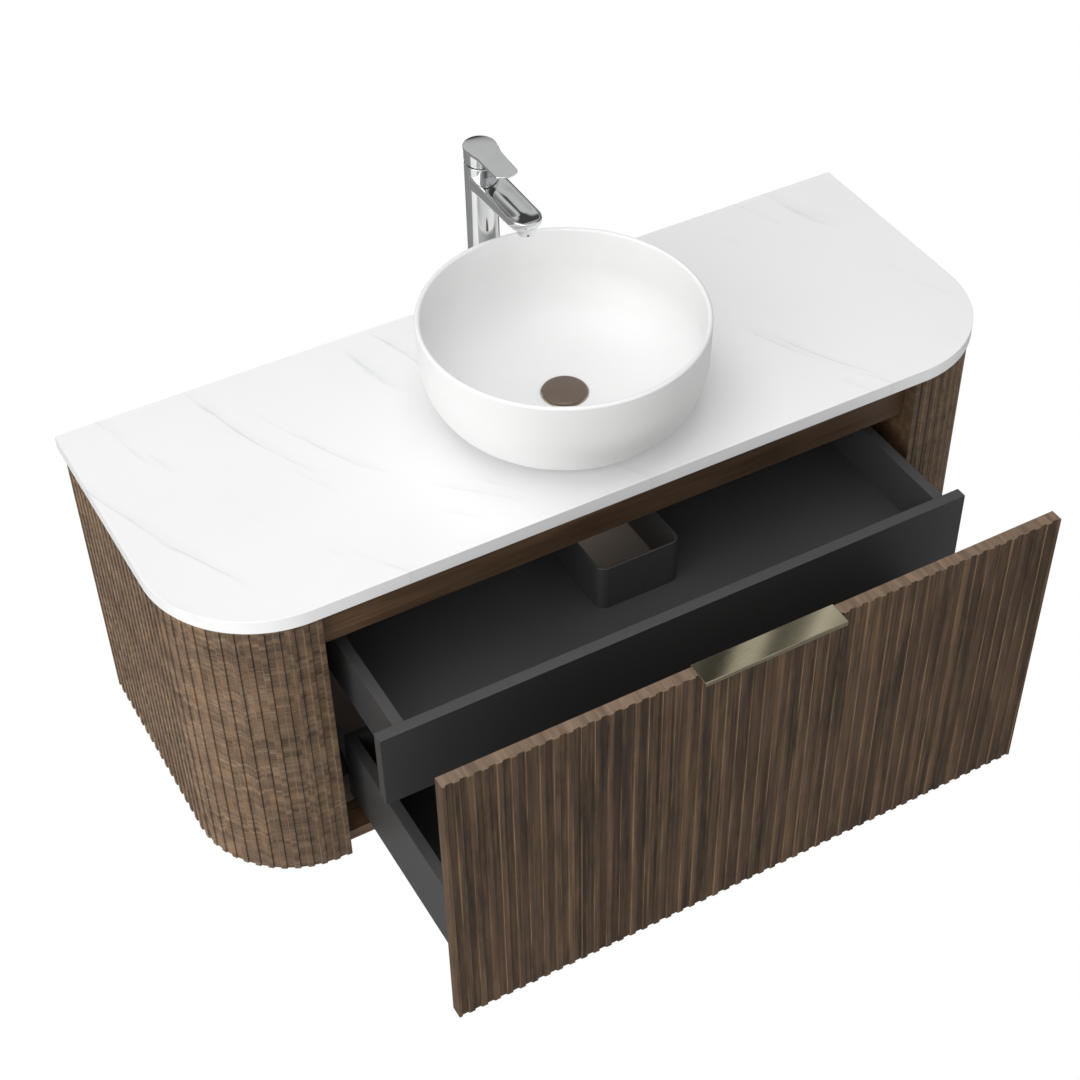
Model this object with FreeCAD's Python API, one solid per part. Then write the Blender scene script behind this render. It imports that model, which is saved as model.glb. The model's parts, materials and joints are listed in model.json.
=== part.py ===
import FreeCAD, Part
import os
import math

# Wall-hung washbasin vanity: fluted walnut carcass with wrapped front corners,
# stone slab top, round vessel basin, tall single-lever basin mixer, an inner
# drawer with a plumbing shroud and a lower drawer behind one full-height
# fluted front.  Millimetres.  +X to the right as seen from the front, +Y into
# the wall, +Z up.  The origin is the centre of the four wall screw holes, on
# the wall plane.  Both drawers are drawn pulled out.

V = FreeCAD.Vector

# ---- driving dimensions ------------------------------------------------------
SLAB_W = 1200.0          # slab width
SLAB_D = 450.0           # slab depth
SLAB_T = 20.0            # slab thickness
SLAB_R = 155.0           # slab front corner radius
Z_SLAB = 241.0           # slab top above the screw-pattern centre
SLAB_CH = 1.0            # slab edge chamfer

CAB_W = 1186.0           # carcass width over the flutes
CAB_D = 447.0            # carcass depth over the flutes
CAB_H = 450.0            # carcass height
CAB_R = 145.0            # carcass front corner radius
WRAP_T = 18.0            # wrapped side panel thickness over the flutes
FLUTE_D = 2.2            # flute depth
FLUTE_P = 18.05          # flute pitch on the sides
OPEN_HALF = 434.0        # half width of the drawer opening
EDGE_FLAT = 0.0          # plain strip next to the opening, beyond the last flute

WALL_T = 16.0            # inner wall thickness
BOARD_T = 18.0           # carcass board thickness
RAIL_H = 68.0            # front rail height
RAIL_SETBACK = 21.5      # front rail behind the carcass face
BACK_T = 6.0             # back panel thickness

SINK_R = 187.5           # basin rim radius
SINK_H = 140.0           # basin height
SINK_BASE_R = 118.0      # basin foot radius
SINK_Y = -263.5          # basin centre from the wall
SINK_WALL = 7.0          # basin rim wall
SINK_KNEE = 90.0         # height where the wall turns upright
DRAIN_HOLE_R = 22.5      # basin and slab drain hole
CAP_R = 30.4             # drain cap radius
CAP_TRAVEL = 10.0        # drain cap lift

FAU_Y = -49.0            # mixer column centre from the wall
FAU_R = 21.5             # mixer column radius
FAU_TOP = 241.0          # column top above the slab
SPOUT_TOP = 228.0        # spout top face above the slab
SPOUT_END = -187.0       # spout tip from the wall
INLET_X = 8.5            # supply inlets either side of the shank's axis
PIVOT_Z = 243.0          # lever pivot above the slab
LEVER_TOP = 265.5        # lever top face above the slab
LEVER_END = -128.0       # lever tip from the wall

FRONT_HALF = 431.0       # half width of the fluted front
FRONT_T = 18.0           # fluted front thickness
FRONT_TOP = -23.0        # fluted front top, from the slab top
FRONT_BOT = -468.0       # fluted front bottom, from the slab top
FRONT_FLUTES = 48        # flutes across the fluted front
LOWER_OUT = 302.0        # how far the lower drawer is drawn out
INNER_OUT = 151.0        # how far the inner drawer is drawn out

BOX_HALF = 405.0         # half width of both drawer boxes
BOX_T = 15.0             # drawer side thickness
INNER_FRONT_HALF = 430.0
INNER_FRONT_T = 16.0
INNER_TOP = -118.0       # inner drawer top, from the slab top
INNER_BOT = -201.0       # inner drawer side bottom
INNER_FRONT_BOT = -235.0
INNER_L = 330.0          # inner drawer side length
LOWER_TOP = -306.0       # lower drawer top, from the slab top
LOWER_BOT = -422.0       # lower drawer side bottom
LOWER_L = 343.0          # lower drawer side length
FLOOR_T = 4.0            # drawer floor thickness
U_HALF = 61.0            # plumbing shroud half width
U_T = 3.0                # plumbing shroud wall
U_R = 14.0               # plumbing shroud corner radius
U_FRONT = -309.0         # shroud front with the drawer closed

PULL_HALF = 99.5         # edge pull half length
PULL_T = 1.6             # edge pull metal thickness

SCREW_X = 1000.0         # wall screw spacing across
SCREW_Z = 352.0          # wall screw spacing up
SCREW_R = 4.0            # wall screw hole radius

# ---- helpers -----------------------------------------------------------------
ZT = Z_SLAB


def box(x0, x1, y0, y1, z0, z1):
    """Box between two corners; z is measured from the slab top."""
    return Part.makeBox(x1 - x0, y1 - y0, z1 - z0, V(x0, y0, z0 + ZT))


def cyl(r, x, y, z0, z1):
    return Part.makeCylinder(r, z1 - z0, V(x, y, z0 + ZT))


def prism(pts, z0, z1):
    """Vertical prism from a closed outline of (x, y) points."""
    w = Part.makePolygon([V(x, y, z0 + ZT) for x, y in pts] + [V(pts[0][0], pts[0][1], z0 + ZT)])
    return Part.Face(w).extrude(V(0, 0, z1 - z0))


def extrude_y(pts, y0, y1):
    """Prism along Y from a closed outline of (x, z) points, z from the slab top."""
    w = Part.makePolygon([V(x, y0, z + ZT) for x, z in pts] + [V(pts[0][0], y0, pts[0][1] + ZT)])
    return Part.Face(w).extrude(V(0, y1 - y0, 0))


def extrude_x(pts, x0, x1):
    """Prism along X from a closed outline of (y, z) points, z from the slab top."""
    w = Part.makePolygon([V(x0, y, z + ZT) for y, z in pts] + [V(x0, pts[0][0], pts[0][1] + ZT)])
    return Part.Face(w).extrude(V(x1 - x0, 0, 0))


def revolve(pts, x, y):
    """Solid of revolution about the vertical line through (x, y); pts are (r, z)."""
    w = Part.makePolygon([V(x + r, y, z + ZT) for r, z in pts] + [V(x + pts[0][0], y, pts[0][1] + ZT)])
    return Part.Face(w).revolve(V(x, y, 0), V(0, 0, 1), 360)


def mirror_x(s):
    return s.mirror(V(0, 0, 0), V(1, 0, 0))


def cyl_y(r, x, z, y0, y1):
    return Part.makeCylinder(r, y1 - y0, V(x, y0, z + ZT), V(0, 1, 0))


def group(solids):
    return Part.makeCompound(solids)


def d_outline(half, depth, r, n=25):
    """Plan outline: square back corners, round front corners."""
    pts = [(half, 0.0), (-half, 0.0)]
    for i in range(n + 1):
        a = math.radians(90.0 * i / n)
        pts.append((-half + r - r * math.cos(a), -depth + r - r * math.sin(a)))
    for i in range(n + 1):
        a = math.radians(90.0 * i / n)
        pts.append((half - r + r * math.sin(a), -depth + r - r * math.cos(a)))
    return pts


parts = {}
HALF = SLAB_W / 2.0
CH = CAB_W / 2.0
Z_BOT = -SLAB_T - CAB_H

# ---- slab top ----------------------------------------------------------------
outline = []
e = [V(HALF, 0, ZT), V(-HALF, 0, ZT), V(-HALF, -SLAB_D + SLAB_R, ZT)]
c = math.cos(math.radians(45))
seg = [
    Part.makeLine(V(HALF, 0, ZT), V(-HALF, 0, ZT)),
    Part.makeLine(V(-HALF, 0, ZT), V(-HALF, -SLAB_D + SLAB_R, ZT)),
    Part.Arc(V(-HALF, -SLAB_D + SLAB_R, ZT),
             V(-HALF + SLAB_R - SLAB_R * c, -SLAB_D + SLAB_R - SLAB_R * c, ZT),
             V(-HALF + SLAB_R, -SLAB_D, ZT)).toShape(),
    Part.makeLine(V(-HALF + SLAB_R, -SLAB_D, ZT), V(HALF - SLAB_R, -SLAB_D, ZT)),
    Part.Arc(V(HALF - SLAB_R, -SLAB_D, ZT),
             V(HALF - SLAB_R + SLAB_R * c, -SLAB_D + SLAB_R - SLAB_R * c, ZT),
             V(HALF, -SLAB_D + SLAB_R, ZT)).toShape(),
    Part.makeLine(V(HALF, -SLAB_D + SLAB_R, ZT), V(HALF, 0, ZT)),
]
slab = Part.Face(Part.Wire(seg)).extrude(V(0, 0, -SLAB_T))
rim = [ed for ed in slab.Edges
       if (abs(ed.BoundBox.ZMin - ZT) < 1e-6 and abs(ed.BoundBox.ZMax - ZT) < 1e-6
           and ed.BoundBox.YMin < -1.0)
       or (abs(ed.BoundBox.ZMin - (ZT - SLAB_T)) < 1e-6 and abs(ed.BoundBox.ZMax - (ZT - SLAB_T)) < 1e-6
           and ed.BoundBox.YMin < -1.0)]
slab = slab.makeChamfer(SLAB_CH, rim)
slab = slab.cut(cyl(DRAIN_HOLE_R, 0, SINK_Y, -SLAB_T - 1, 1))
slab = slab.cut(cyl(17.5, 0, FAU_Y, -SLAB_T - 1, 1))
parts["countertop"] = slab

# ---- wrapped fluted side panels ------------------------------------------------
L1 = CAB_D - CAB_R                       # straight run along the side
L2 = math.pi / 2.0 * CAB_R               # corner run
L3 = CH - CAB_R - OPEN_HALF              # short run on the front
LT = L1 + L2 + L3


def wrap_point(s, depth):
    """Point on the left panel: s along the outer line from the wall, depth inward."""
    if s <= L1:
        return (-CH + depth, -s)
    if s <= L1 + L2:
        a = (s - L1) / CAB_R
        r = CAB_R - depth
        return (-CH + CAB_R - r * math.cos(a), -CAB_D + CAB_R - r * math.sin(a))
    return (-CH + CAB_R + (s - L1 - L2), -CAB_D + depth)


outer = []
n_fl = int((LT - EDGE_FLAT) / FLUTE_P)
s0 = (LT - EDGE_FLAT) - n_fl * FLUTE_P
outer.append(wrap_point(0.0, 0.0))
if s0 > 1.0:
    outer.append(wrap_point(s0, 0.0))
for i in range(n_fl):
    a = s0 + i * FLUTE_P
    outer.append(wrap_point(a + 0.07 * FLUTE_P, FLUTE_D))
    outer.append(wrap_point(a + 0.30 * FLUTE_P, FLUTE_D))
    outer.append(wrap_point(a + 0.53 * FLUTE_P, FLUTE_D))
    outer.append(wrap_point(a + 0.60 * FLUTE_P, 0.0))
    outer.append(wrap_point(a + 0.80 * FLUTE_P, 0.0))
    outer.append(wrap_point(a + 1.00 * FLUTE_P, 0.0))
outer.append(wrap_point(LT, 0.0))
inner = [wrap_point(LT, WRAP_T)]
for i in range(25, -1, -1):
    inner.append(wrap_point(L1 + L2 * i / 25.0, WRAP_T))
inner.append(wrap_point(0.0, WRAP_T))
pts = []
for q in outer + inner:
    if not pts or math.hypot(q[0] - pts[-1][0], q[1] - pts[-1][1]) > 0.05:
        pts.append(q)
wrap = prism(pts, Z_BOT, -SLAB_T)
parts["side_panel_left"] = wrap
parts["side_panel_right"] = mirror_x(wrap)

# ---- carcass boards --------------------------------------------------------------
IN_X = CH - WRAP_T
IN_D = CAB_D - WRAP_T
floor_front = -(CAB_D - WRAP_T)          # bottom boards stop behind the fluted front
LIP = 52.0                               # depth of the walnut strip on the bottom
bottom = prism(d_outline(IN_X, IN_D, CAB_R - WRAP_T), Z_BOT, Z_BOT + BOARD_T)
bottom = bottom.cut(box(-OPEN_HALF, OPEN_HALF, floor_front - 1, floor_front + LIP, Z_BOT - 1, Z_BOT + BOARD_T + 1))
parts["bottom_panel"] = bottom
parts["bottom_front_rail"] = box(-OPEN_HALF, OPEN_HALF, -CAB_D + RAIL_SETBACK, floor_front + LIP,
                                 Z_BOT, Z_BOT + BOARD_T)

inner_wall = box(-OPEN_HALF - WALL_T, -OPEN_HALF, floor_front + 0.1, -BOARD_T, Z_BOT + BOARD_T, -SLAB_T)
parts["inner_wall_left"] = inner_wall
parts["inner_wall_right"] = mirror_x(inner_wall)

rail_y = -CAB_D + RAIL_SETBACK
parts["front_rail"] = box(-OPEN_HALF, OPEN_HALF, rail_y, rail_y + BOARD_T, -SLAB_T - RAIL_H, -SLAB_T)

# shaped formers that hold each corner wrap to its curve
former = prism(d_outline(IN_X, IN_D, CAB_R - WRAP_T), -SLAB_T - BOARD_T, -SLAB_T)
former = former.common(box(-IN_X - 1, -OPEN_HALF - WALL_T, -IN_D - 1, -BOARD_T, -100, 0))
parts["corner_former_left"] = former
parts["corner_former_right"] = mirror_x(former)

# rear rails carry the wall screws
up_z = (SCREW_Z / 2.0) - ZT
lo_z = (-SCREW_Z / 2.0) - ZT
rear_hi = box(-IN_X, IN_X, -BOARD_T, 0, -SLAB_T - 90, -SLAB_T)
rear_lo = box(-IN_X, IN_X, -BOARD_T, 0, Z_BOT + BOARD_T, Z_BOT + BOARD_T + 70)
for sx in (-SCREW_X / 2.0, SCREW_X / 2.0):
    rear_hi = rear_hi.cut(cyl_y(SCREW_R, sx, up_z, -BOARD_T - 1, 1))
    rear_lo = rear_lo.cut(cyl_y(SCREW_R, sx, lo_z, -BOARD_T - 1, 1))
parts["rear_rail_upper"] = rear_hi
parts["rear_rail_lower"] = rear_lo
back = box(-IN_X, IN_X, -BOARD_T, -BOARD_T + BACK_T, Z_BOT + BOARD_T + 70, -SLAB_T - 90)
back = back.cut(box(-170, 170, -BOARD_T - 1, 1, -330, -150))
parts["back_panel"] = back

# ---- basin -------------------------------------------------------------------------
outer_p = [(SINK_BASE_R, 0.0)]
N = 14
for i in range(1, N + 1):
    t = math.radians(90.0 * i / N)
    outer_p.append((SINK_BASE_R + (SINK_R - 1.0 - SINK_BASE_R) * math.sin(t),
                    SINK_KNEE * (1.0 - math.cos(t))))
outer_p += [(SINK_R, SINK_H - 4.0), (SINK_R - 0.7, SINK_H - 1.6), (SINK_R - 2.2, SINK_H - 0.4),
            (SINK_R - 3.5, SINK_H), (SINK_R - SINK_WALL + 2.5, SINK_H - 0.4),
            (SINK_R - SINK_WALL + 0.8, SINK_H - 1.6), (SINK_R - SINK_WALL, SINK_H - 4.0)]
inner_p = []
floor_r = 60.0
IN_KNEE = 88.0
IN_FLOOR = 14.6
for i in range(0, N + 1):
    t = math.radians(90.0 * i / N)
    inner_p.append((floor_r + (SINK_R - SINK_WALL - 1.0 - floor_r) * math.cos(t),
                    IN_KNEE + (IN_FLOOR - IN_KNEE) * math.sin(t)))
inner_p += [(31.3, 13.0), (31.0, 10.6), (DRAIN_HOLE_R, 10.6), (DRAIN_HOLE_R, 4.0),
            (60.0, 3.0), (SINK_BASE_R - 12.0, 3.0), (SINK_BASE_R - 10.0, 0.0)]
sink = revolve(outer_p + inner_p, 0, SINK_Y)
parts["sink_bowl"] = sink

# ---- drain ---------------------------------------------------------------------------
# flange and threaded tube: a strainer body hanging in the basin and slab holes
flange = revolve([(17.0, 12.6), (29.0, 12.6), (29.6, 12.0), (29.6, 10.6), (20.0, 10.6), (20.0, -78.0),
                  (17.0, -78.0)], 0, SINK_Y)
# cross web with a guide hole for the cap stem
web = box(-17.5, 17.5, SINK_Y - 2.0, SINK_Y + 2.0, -20.0, -8.0)
web = web.fuse(box(-2.0, 2.0, SINK_Y - 17.5, SINK_Y + 17.5, -20.0, -8.0))
web = web.fuse(cyl(6.5, 0, SINK_Y, -20.0, -8.0)).common(cyl(17.5, 0, SINK_Y, -30.0, 0.0))
flange = flange.fuse(web).cut(cyl(3.6, 0, SINK_Y, -30.0, 0.0)).removeSplitter()
parts["drain_body"] = flange
cap = revolve([(0.0, 13.8), (CAP_R - 3.0, 13.8), (CAP_R - 0.6, 14.6), (CAP_R, 15.6), (CAP_R - 0.5, 16.8),
               (CAP_R - 3.5, 17.8), (CAP_R * 0.6, 18.7), (CAP_R * 0.3, 19.1), (0.0, 19.2)], 0, SINK_Y)
cap = cap.fuse(cyl(3.2, 0, SINK_Y, -26.0, 14.0)).removeSplitter()
parts["drain_cap"] = cap
parts["drain_cap_seal"] = revolve([(14.0, 13.8), (14.0, 11.0), (16.4, 11.0), (16.4, 13.8)], 0, SINK_Y)
parts["drain_gasket"] = revolve([(20.2, -SLAB_T - 4.0), (33.0, -SLAB_T - 4.0), (33.0, -SLAB_T), (20.2, -SLAB_T)],
                                0, SINK_Y)
hexpts = [(34.0 * math.cos(math.radians(60 * k)), SINK_Y + 34.0 * math.sin(math.radians(60 * k))) for k in range(6)]
locknut = prism(hexpts, -SLAB_T - 16.0, -SLAB_T - 4.0).cut(cyl(20.0, 0, SINK_Y, -60, 0))
parts["drain_locknut"] = locknut
parts["drain_tailpiece"] = revolve([(16.0, -178.0), (14.4, -178.0), (14.4, -60.0), (17.0, -60.0), (17.0, -78.0),
                                    (16.0, -78.0)], 0, SINK_Y)

# ---- mixer -----------------------------------------------------------------------------
# column with the spout cast on, bored from the top for the cartridge
column = cyl(FAU_R, 0, FAU_Y, 2.0, FAU_TOP)
# spout outline in side view (y, z): flat top, underside rising to a blunt tip
sp = extrude_x([(FAU_Y, SPOUT_TOP), (SPOUT_END + 3.0, SPOUT_TOP), (SPOUT_END, SPOUT_TOP - 3.0),
                (SPOUT_END + 1.0, SPOUT_TOP - 9.0), (SPOUT_END + 5.0, SPOUT_TOP - 15.0),
                (SPOUT_END + 28.0, SPOUT_TOP - 18.0), (FAU_Y - FAU_R, SPOUT_TOP - 26.0),
                (FAU_Y, SPOUT_TOP - 31.0)], -FAU_R, FAU_R)
# the cross-section is flat on top with sides drawn in towards a rounded underside
sec = [(-FAU_R, SPOUT_TOP + 1.0), (-FAU_R, SPOUT_TOP - 4.0)]
for i in range(1, 12):
    a = math.radians(180.0 * i / 12.0)
    sec.append((-FAU_R * math.cos(a), SPOUT_TOP - 4.0 - 28.0 * math.sin(a) ** 0.8))
sec += [(FAU_R, SPOUT_TOP - 4.0), (FAU_R, SPOUT_TOP + 1.0)]
sp = sp.common(extrude_y(sec, SPOUT_END - 1.0, FAU_Y))
# plan outline with a gently bowed tip
tip = [(-FAU_R, FAU_Y)]
tip.append((-FAU_R, SPOUT_END + 9.0))
for i in range(1, 10):
    x = -FAU_R + 2 * FAU_R * i / 10.0
    tip.append((x, SPOUT_END + 9.0 - 9.0 * (1.0 - (x / FAU_R) ** 2) ** 0.6))
tip += [(FAU_R, SPOUT_END + 9.0), (FAU_R, FAU_Y)]
sp = sp.common(prism(tip, 150.0, 260.0))
AER_Y = SPOUT_END + 18.0
nose = revolve([(0.0, 204.0), (11.0, 204.0), (12.6, 207.0), (14.5, 216.0), (0.0, 216.0)], 0, AER_Y)
body = column.fuse(sp).fuse(nose).removeSplitter()
body = body.cut(cyl(17.6, 0, FAU_Y, 190.0, FAU_TOP + 1.0))           # cartridge chamber
body = body.cut(cyl(9.6, 0, AER_Y, 203.0, 213.0))                     # aerator seat
body = body.cut(cyl(5.5, 0, AER_Y, 212.0, 220.0))                     # outlet rise
waterway = Part.makeCylinder(5.0, abs(AER_Y - FAU_Y) - 8.0, V(0, AER_Y, 217.0 + ZT), V(0, 1, 0))
body = body.cut(waterway)
body = body.cut(cyl(16.0, 0, FAU_Y, 1.0, 14.0))                       # socket for the shank
for sx in (-INLET_X, INLET_X):
    body = body.cut(cyl(3.2, sx, FAU_Y, 10.0, 192.0))
parts["faucet_body"] = body
# threaded shank, screwed up into the column and hanging through the slab
shank = cyl(16.0, 0, FAU_Y, -62.0, 14.0)
for sx in (-INLET_X, INLET_X):
    shank = shank.cut(cyl(4.5, sx, FAU_Y, -63.0, -47.0))
    shank = shank.cut(cyl(3.2, sx, FAU_Y, -48.0, 15.0))
parts["faucet_shank"] = shank
parts["faucet_base_gasket"] = revolve([(16.2, 0.0), (24.0, 0.0), (24.0, 2.0), (16.2, 2.0)], 0, FAU_Y)
parts["faucet_washer"] = revolve([(16.2, -SLAB_T), (26.0, -SLAB_T), (26.0, -SLAB_T - 3.0), (16.2, -SLAB_T - 3.0)],
                                 0, FAU_Y)
nutpts = [(24.0 * math.cos(math.radians(60 * k)), FAU_Y + 24.0 * math.sin(math.radians(60 * k))) for k in range(6)]
parts["faucet_shank_nut"] = prism(nutpts, -SLAB_T - 14.0, -SLAB_T - 3.0).cut(cyl(16.0, 0, FAU_Y, -60, 0))
cart = cyl(17.5, 0, FAU_Y, 192.0, 234.0)
parts["faucet_cartridge"] = cart
# retaining ring screwed into the chamber mouth above the cartridge
parts["faucet_retaining_ring"] = revolve([(8.5, 234.0), (17.6, 234.0), (17.6, 241.0), (12.0, 241.4), (8.5, 238.0)], 0, FAU_Y)
aer = cyl(9.5, 0, AER_Y, 203.0, 212.0).cut(cyl(6.5, 0, AER_Y, 202.0, 205.0))
for k in range(-2, 3):
    aer = aer.cut(box(-6.4 + 0.2 * abs(k), 6.4 - 0.2 * abs(k), AER_Y + 2.4 * k - 0.6, AER_Y + 2.4 * k + 0.6, 202.0, 208.0))
parts["faucet_aerator"] = aer

# turning dome over the cartridge, slotted for the stem
P = V(0, FAU_Y, PIVOT_Z + ZT)
dome = Part.makeSphere(16.6, P).cut(Part.makeSphere(14.6, P))
dome = dome.common(box(-30, 30, FAU_Y - 30, FAU_Y + 30, PIVOT_Z - 0.4, PIVOT_Z + 20))
foot = revolve([(7.9, 234.6), (7.9, 242.6), (16.6, 242.6), (16.6, 244.2), (6.4, 244.2), (6.4, 234.6)], 0, FAU_Y)
dome = dome.fuse(foot).removeSplitter()
dome = dome.cut(box(-3.6, 3.6, FAU_Y - 4.6, FAU_Y + 9.6, PIVOT_Z + 8.0, PIVOT_Z + 20.0))
parts["faucet_dome"] = dome
# stem: from the ball centre up into the lever
stem = Part.makeSphere(5.6, P).fuse(cyl(2.8, 0, FAU_Y, PIVOT_Z, 263.5))
# cross pin that the stem rocks on
stem = stem.fuse(Part.makeCylinder(1.6, 12.0, V(-6.0, FAU_Y, PIVOT_Z + ZT), V(1, 0, 0))).removeSplitter()
parts["faucet_stem"] = stem

# lever: a hub over the dome and a flat paddle
hub = cyl(21.5, 0, FAU_Y, 241.5, 261.0)
# the hub's underside slopes up to the back, which drops as the lever lifts
hub = hub.common(extrude_x([(FAU_Y - 22.0, 241.8), (FAU_Y + 22.0, 249.2), (FAU_Y + 22.0, 262.0),
                            (FAU_Y - 22.0, 262.0)], -22.0, 22.0))
half_tip = 16.8
pad = []
nb = 28
for i in range(nb + 1):                       # round rear end
    a = math.radians(-20.0 + 220.0 * i / nb)
    pad.append((22.0 * math.cos(a), FAU_Y + 22.0 * math.sin(a)))
xl, yl = pad[-1]
for k in range(1, 7):                         # left neck, easing in
    t = k / 6.0
    pad.append((xl + (-half_tip - xl) * (3 * t * t - 2 * t ** 3), yl - (22.0) * t))
tip_y = LEVER_END + 10.0
pad.append((-half_tip + 0.6, tip_y))
for i in range(1, 12):                        # bowed tip
    x = -half_tip + 0.6 + 2 * (half_tip - 0.6) * i / 12.0
    pad.append((x, tip_y - 10.0 * (1.0 - (x / (half_tip - 0.6)) ** 2) ** 0.55))
pad.append((half_tip - 0.6, tip_y))
xr, yr = pad[0]
for k in range(6, 0, -1):
    t = k / 6.0
    pad.append((xr + (half_tip - xr) * (3 * t * t - 2 * t ** 3), yr - 22.0 * t))
plate = prism(pad, 260.5, LEVER_TOP)
lever = hub.fuse(plate).removeSplitter()
lever = lever.cut(Part.makeSphere(17.2, P))
lever = lever.cut(cyl(2.8, 0, FAU_Y, 255.0, 263.5))
lever = lever.cut(Part.makeCylinder(1.5, 22.0, V(0, FAU_Y + 1.0, 262.0 + ZT), V(0, 1, 0)))
parts["faucet_lever"] = lever
grub = Part.makeCylinder(1.5, 11.0, V(0, FAU_Y + 1.0, 262.0 + ZT), V(0, 1, 0))
grub = grub.cut(cyl(2.8, 0, FAU_Y, 255.0, 263.5)).cut(Part.makeCylinder(0.8, 3.0, V(0, FAU_Y + 9.5, 262.0 + ZT), V(0, 1, 0)))
parts["faucet_grub_screw"] = grub

# ---- inner drawer ---------------------------------------------------------------------
dy = -INNER_OUT
fy = -CAB_D + RAIL_SETBACK                      # its front face when shut
ib = fy + INNER_FRONT_T                         # back of its front when shut
inner_front = box(-INNER_FRONT_HALF, INNER_FRONT_HALF, fy, ib, INNER_FRONT_BOT, INNER_TOP)
side = box(-BOX_HALF, -BOX_HALF + BOX_T, ib, ib + INNER_L, INNER_BOT, INNER_TOP)
dowels = []
for dz in (-140.0, -178.0):
    for sx in (-BOX_HALF + BOX_T / 2.0, BOX_HALF - BOX_T / 2.0):
        dowels.append(cyl_y(3.0, sx, dz, ib - 10.0, ib + 24.0))
inner_front = inner_front.cut(group(dowels))
FL_TOP_I = -188.0
floor_i = box(-BOX_HALF + BOX_T, BOX_HALF - BOX_T, ib, ib + INNER_L, FL_TOP_I - FLOOR_T, FL_TOP_I)


def u_outline(half, front, back, r, n=10):
    p = [(half, back), (-half, back)]
    for i in range(n + 1):
        a = math.radians(90.0 * i / n)
        p.append((-half + r - r * math.cos(a), front + r - r * math.sin(a)))
    for i in range(n + 1):
        a = math.radians(90.0 * i / n)
        p.append((half - r + r * math.sin(a), front + r - r * math.cos(a)))
    return p


box_back = ib + INNER_L
floor_i = floor_i.cut(prism(u_outline(U_HALF, U_FRONT, box_back + 5, U_R), -260, -100))
u_out = prism(u_outline(U_HALF, U_FRONT, box_back, U_R), FL_TOP_I - FLOOR_T, INNER_TOP)
u_in = prism(u_outline(U_HALF - U_T, U_FRONT + U_T, box_back + 5, U_R - U_T), -260, -100)
shroud = u_out.cut(u_in)
BK_T = 12.0
bk = box(-BOX_HALF + BOX_T, -U_HALF, box_back - BK_T, box_back, FL_TOP_I, INNER_TOP)


def moved(s):
    s = s.copy()
    s.translate(V(0, dy, 0))
    return s


parts["inner_drawer_front"] = moved(inner_front)
parts["inner_drawer_side_left"] = moved(side.cut(group(dowels)))
parts["inner_drawer_side_right"] = moved(mirror_x(side).cut(group(dowels)))
parts["inner_drawer_dowels"] = moved(group(dowels))
parts["inner_drawer_floor"] = moved(floor_i)
parts["inner_drawer_shroud"] = moved(shroud)
parts["inner_drawer_back_left"] = moved(bk)
parts["inner_drawer_back_right"] = moved(mirror_x(bk))

# ---- lower drawer ---------------------------------------------------------------------
dy = -LOWER_OUT
ff = -CAB_D
fb = ff + FRONT_T
fp = []
P_F = 2 * FRONT_HALF / FRONT_FLUTES
for i in range(FRONT_FLUTES):
    a = -FRONT_HALF + i * P_F
    if i == 0:
        fp.append((a, ff))
    fp.append((a + 0.24 * P_F, ff))
    fp.append((a + 0.31 * P_F, ff + FLUTE_D))
    fp.append((a + 0.73 * P_F, ff + FLUTE_D))
    fp.append((a + 0.80 * P_F, ff))
    if i == FRONT_FLUTES - 1:
        fp.append((a + P_F, ff))
fp += [(FRONT_HALF, fb), (-FRONT_HALF, fb)]
front = prism(fp, FRONT_BOT, FRONT_TOP)
side = box(-BOX_HALF, -BOX_HALF + BOX_T, fb, fb + LOWER_L, LOWER_BOT, LOWER_TOP)
dowels = []
for dz in (-330.0, -364.0, -398.0):
    for sx in (-BOX_HALF + BOX_T / 2.0, BOX_HALF - BOX_T / 2.0):
        dowels.append(cyl_y(3.0, sx, dz, fb - 10.0, fb + 24.0))
FL_TOP_L = -409.0
parts["lower_drawer_side_left"] = moved(side.cut(group(dowels)))
parts["lower_drawer_side_right"] = moved(mirror_x(side).cut(group(dowels)))
parts["lower_drawer_dowels"] = moved(group(dowels))
parts["lower_drawer_floor"] = moved(box(-BOX_HALF + BOX_T, BOX_HALF - BOX_T, fb, fb + LOWER_L,
                                        FL_TOP_L - FLOOR_T, FL_TOP_L))
parts["lower_drawer_back"] = moved(box(-BOX_HALF + BOX_T, BOX_HALF - BOX_T, fb + LOWER_L - BK_T, fb + LOWER_L,
                                       FL_TOP_L, LOWER_TOP))
# edge pull: a folded strip over the top edge of the front
pt = FRONT_TOP
pull = extrude_x([(fb + PULL_T, pt - 26.0), (fb + PULL_T, pt + PULL_T), (ff - 14.0, pt + PULL_T),
                  (ff - 14.0, pt - 5.0), (ff - 14.0 + PULL_T, pt - 5.0), (ff - 14.0 + PULL_T, pt),
                  (fb, pt), (fb, pt - 26.0)], -PULL_HALF, PULL_HALF)
screws = []
for sx in (-75.0, 0.0, 75.0):
    s = Part.makeCone(1.5, 3.4, PULL_T, V(sx, fb, pt - 16.0 + ZT), V(0, 1, 0))
    s = s.fuse(cyl_y(1.5, sx, pt - 16.0, fb - 12.0, fb)).removeSplitter()
    screws.append(s)
front = front.cut(group(dowels)).cut(group(screws))
pull = pull.cut(group(screws))
parts["lower_drawer_front"] = moved(front)
parts["edge_pull"] = moved(pull)
parts["edge_pull_screws"] = moved(group(screws))

# ---- concealed runners -----------------------------------------------------------------
# Each runner is three nested folded strips under the drawer floor: a drawer
# member outside, a middle member, and a cabinet member on an arm from the wall.


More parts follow.
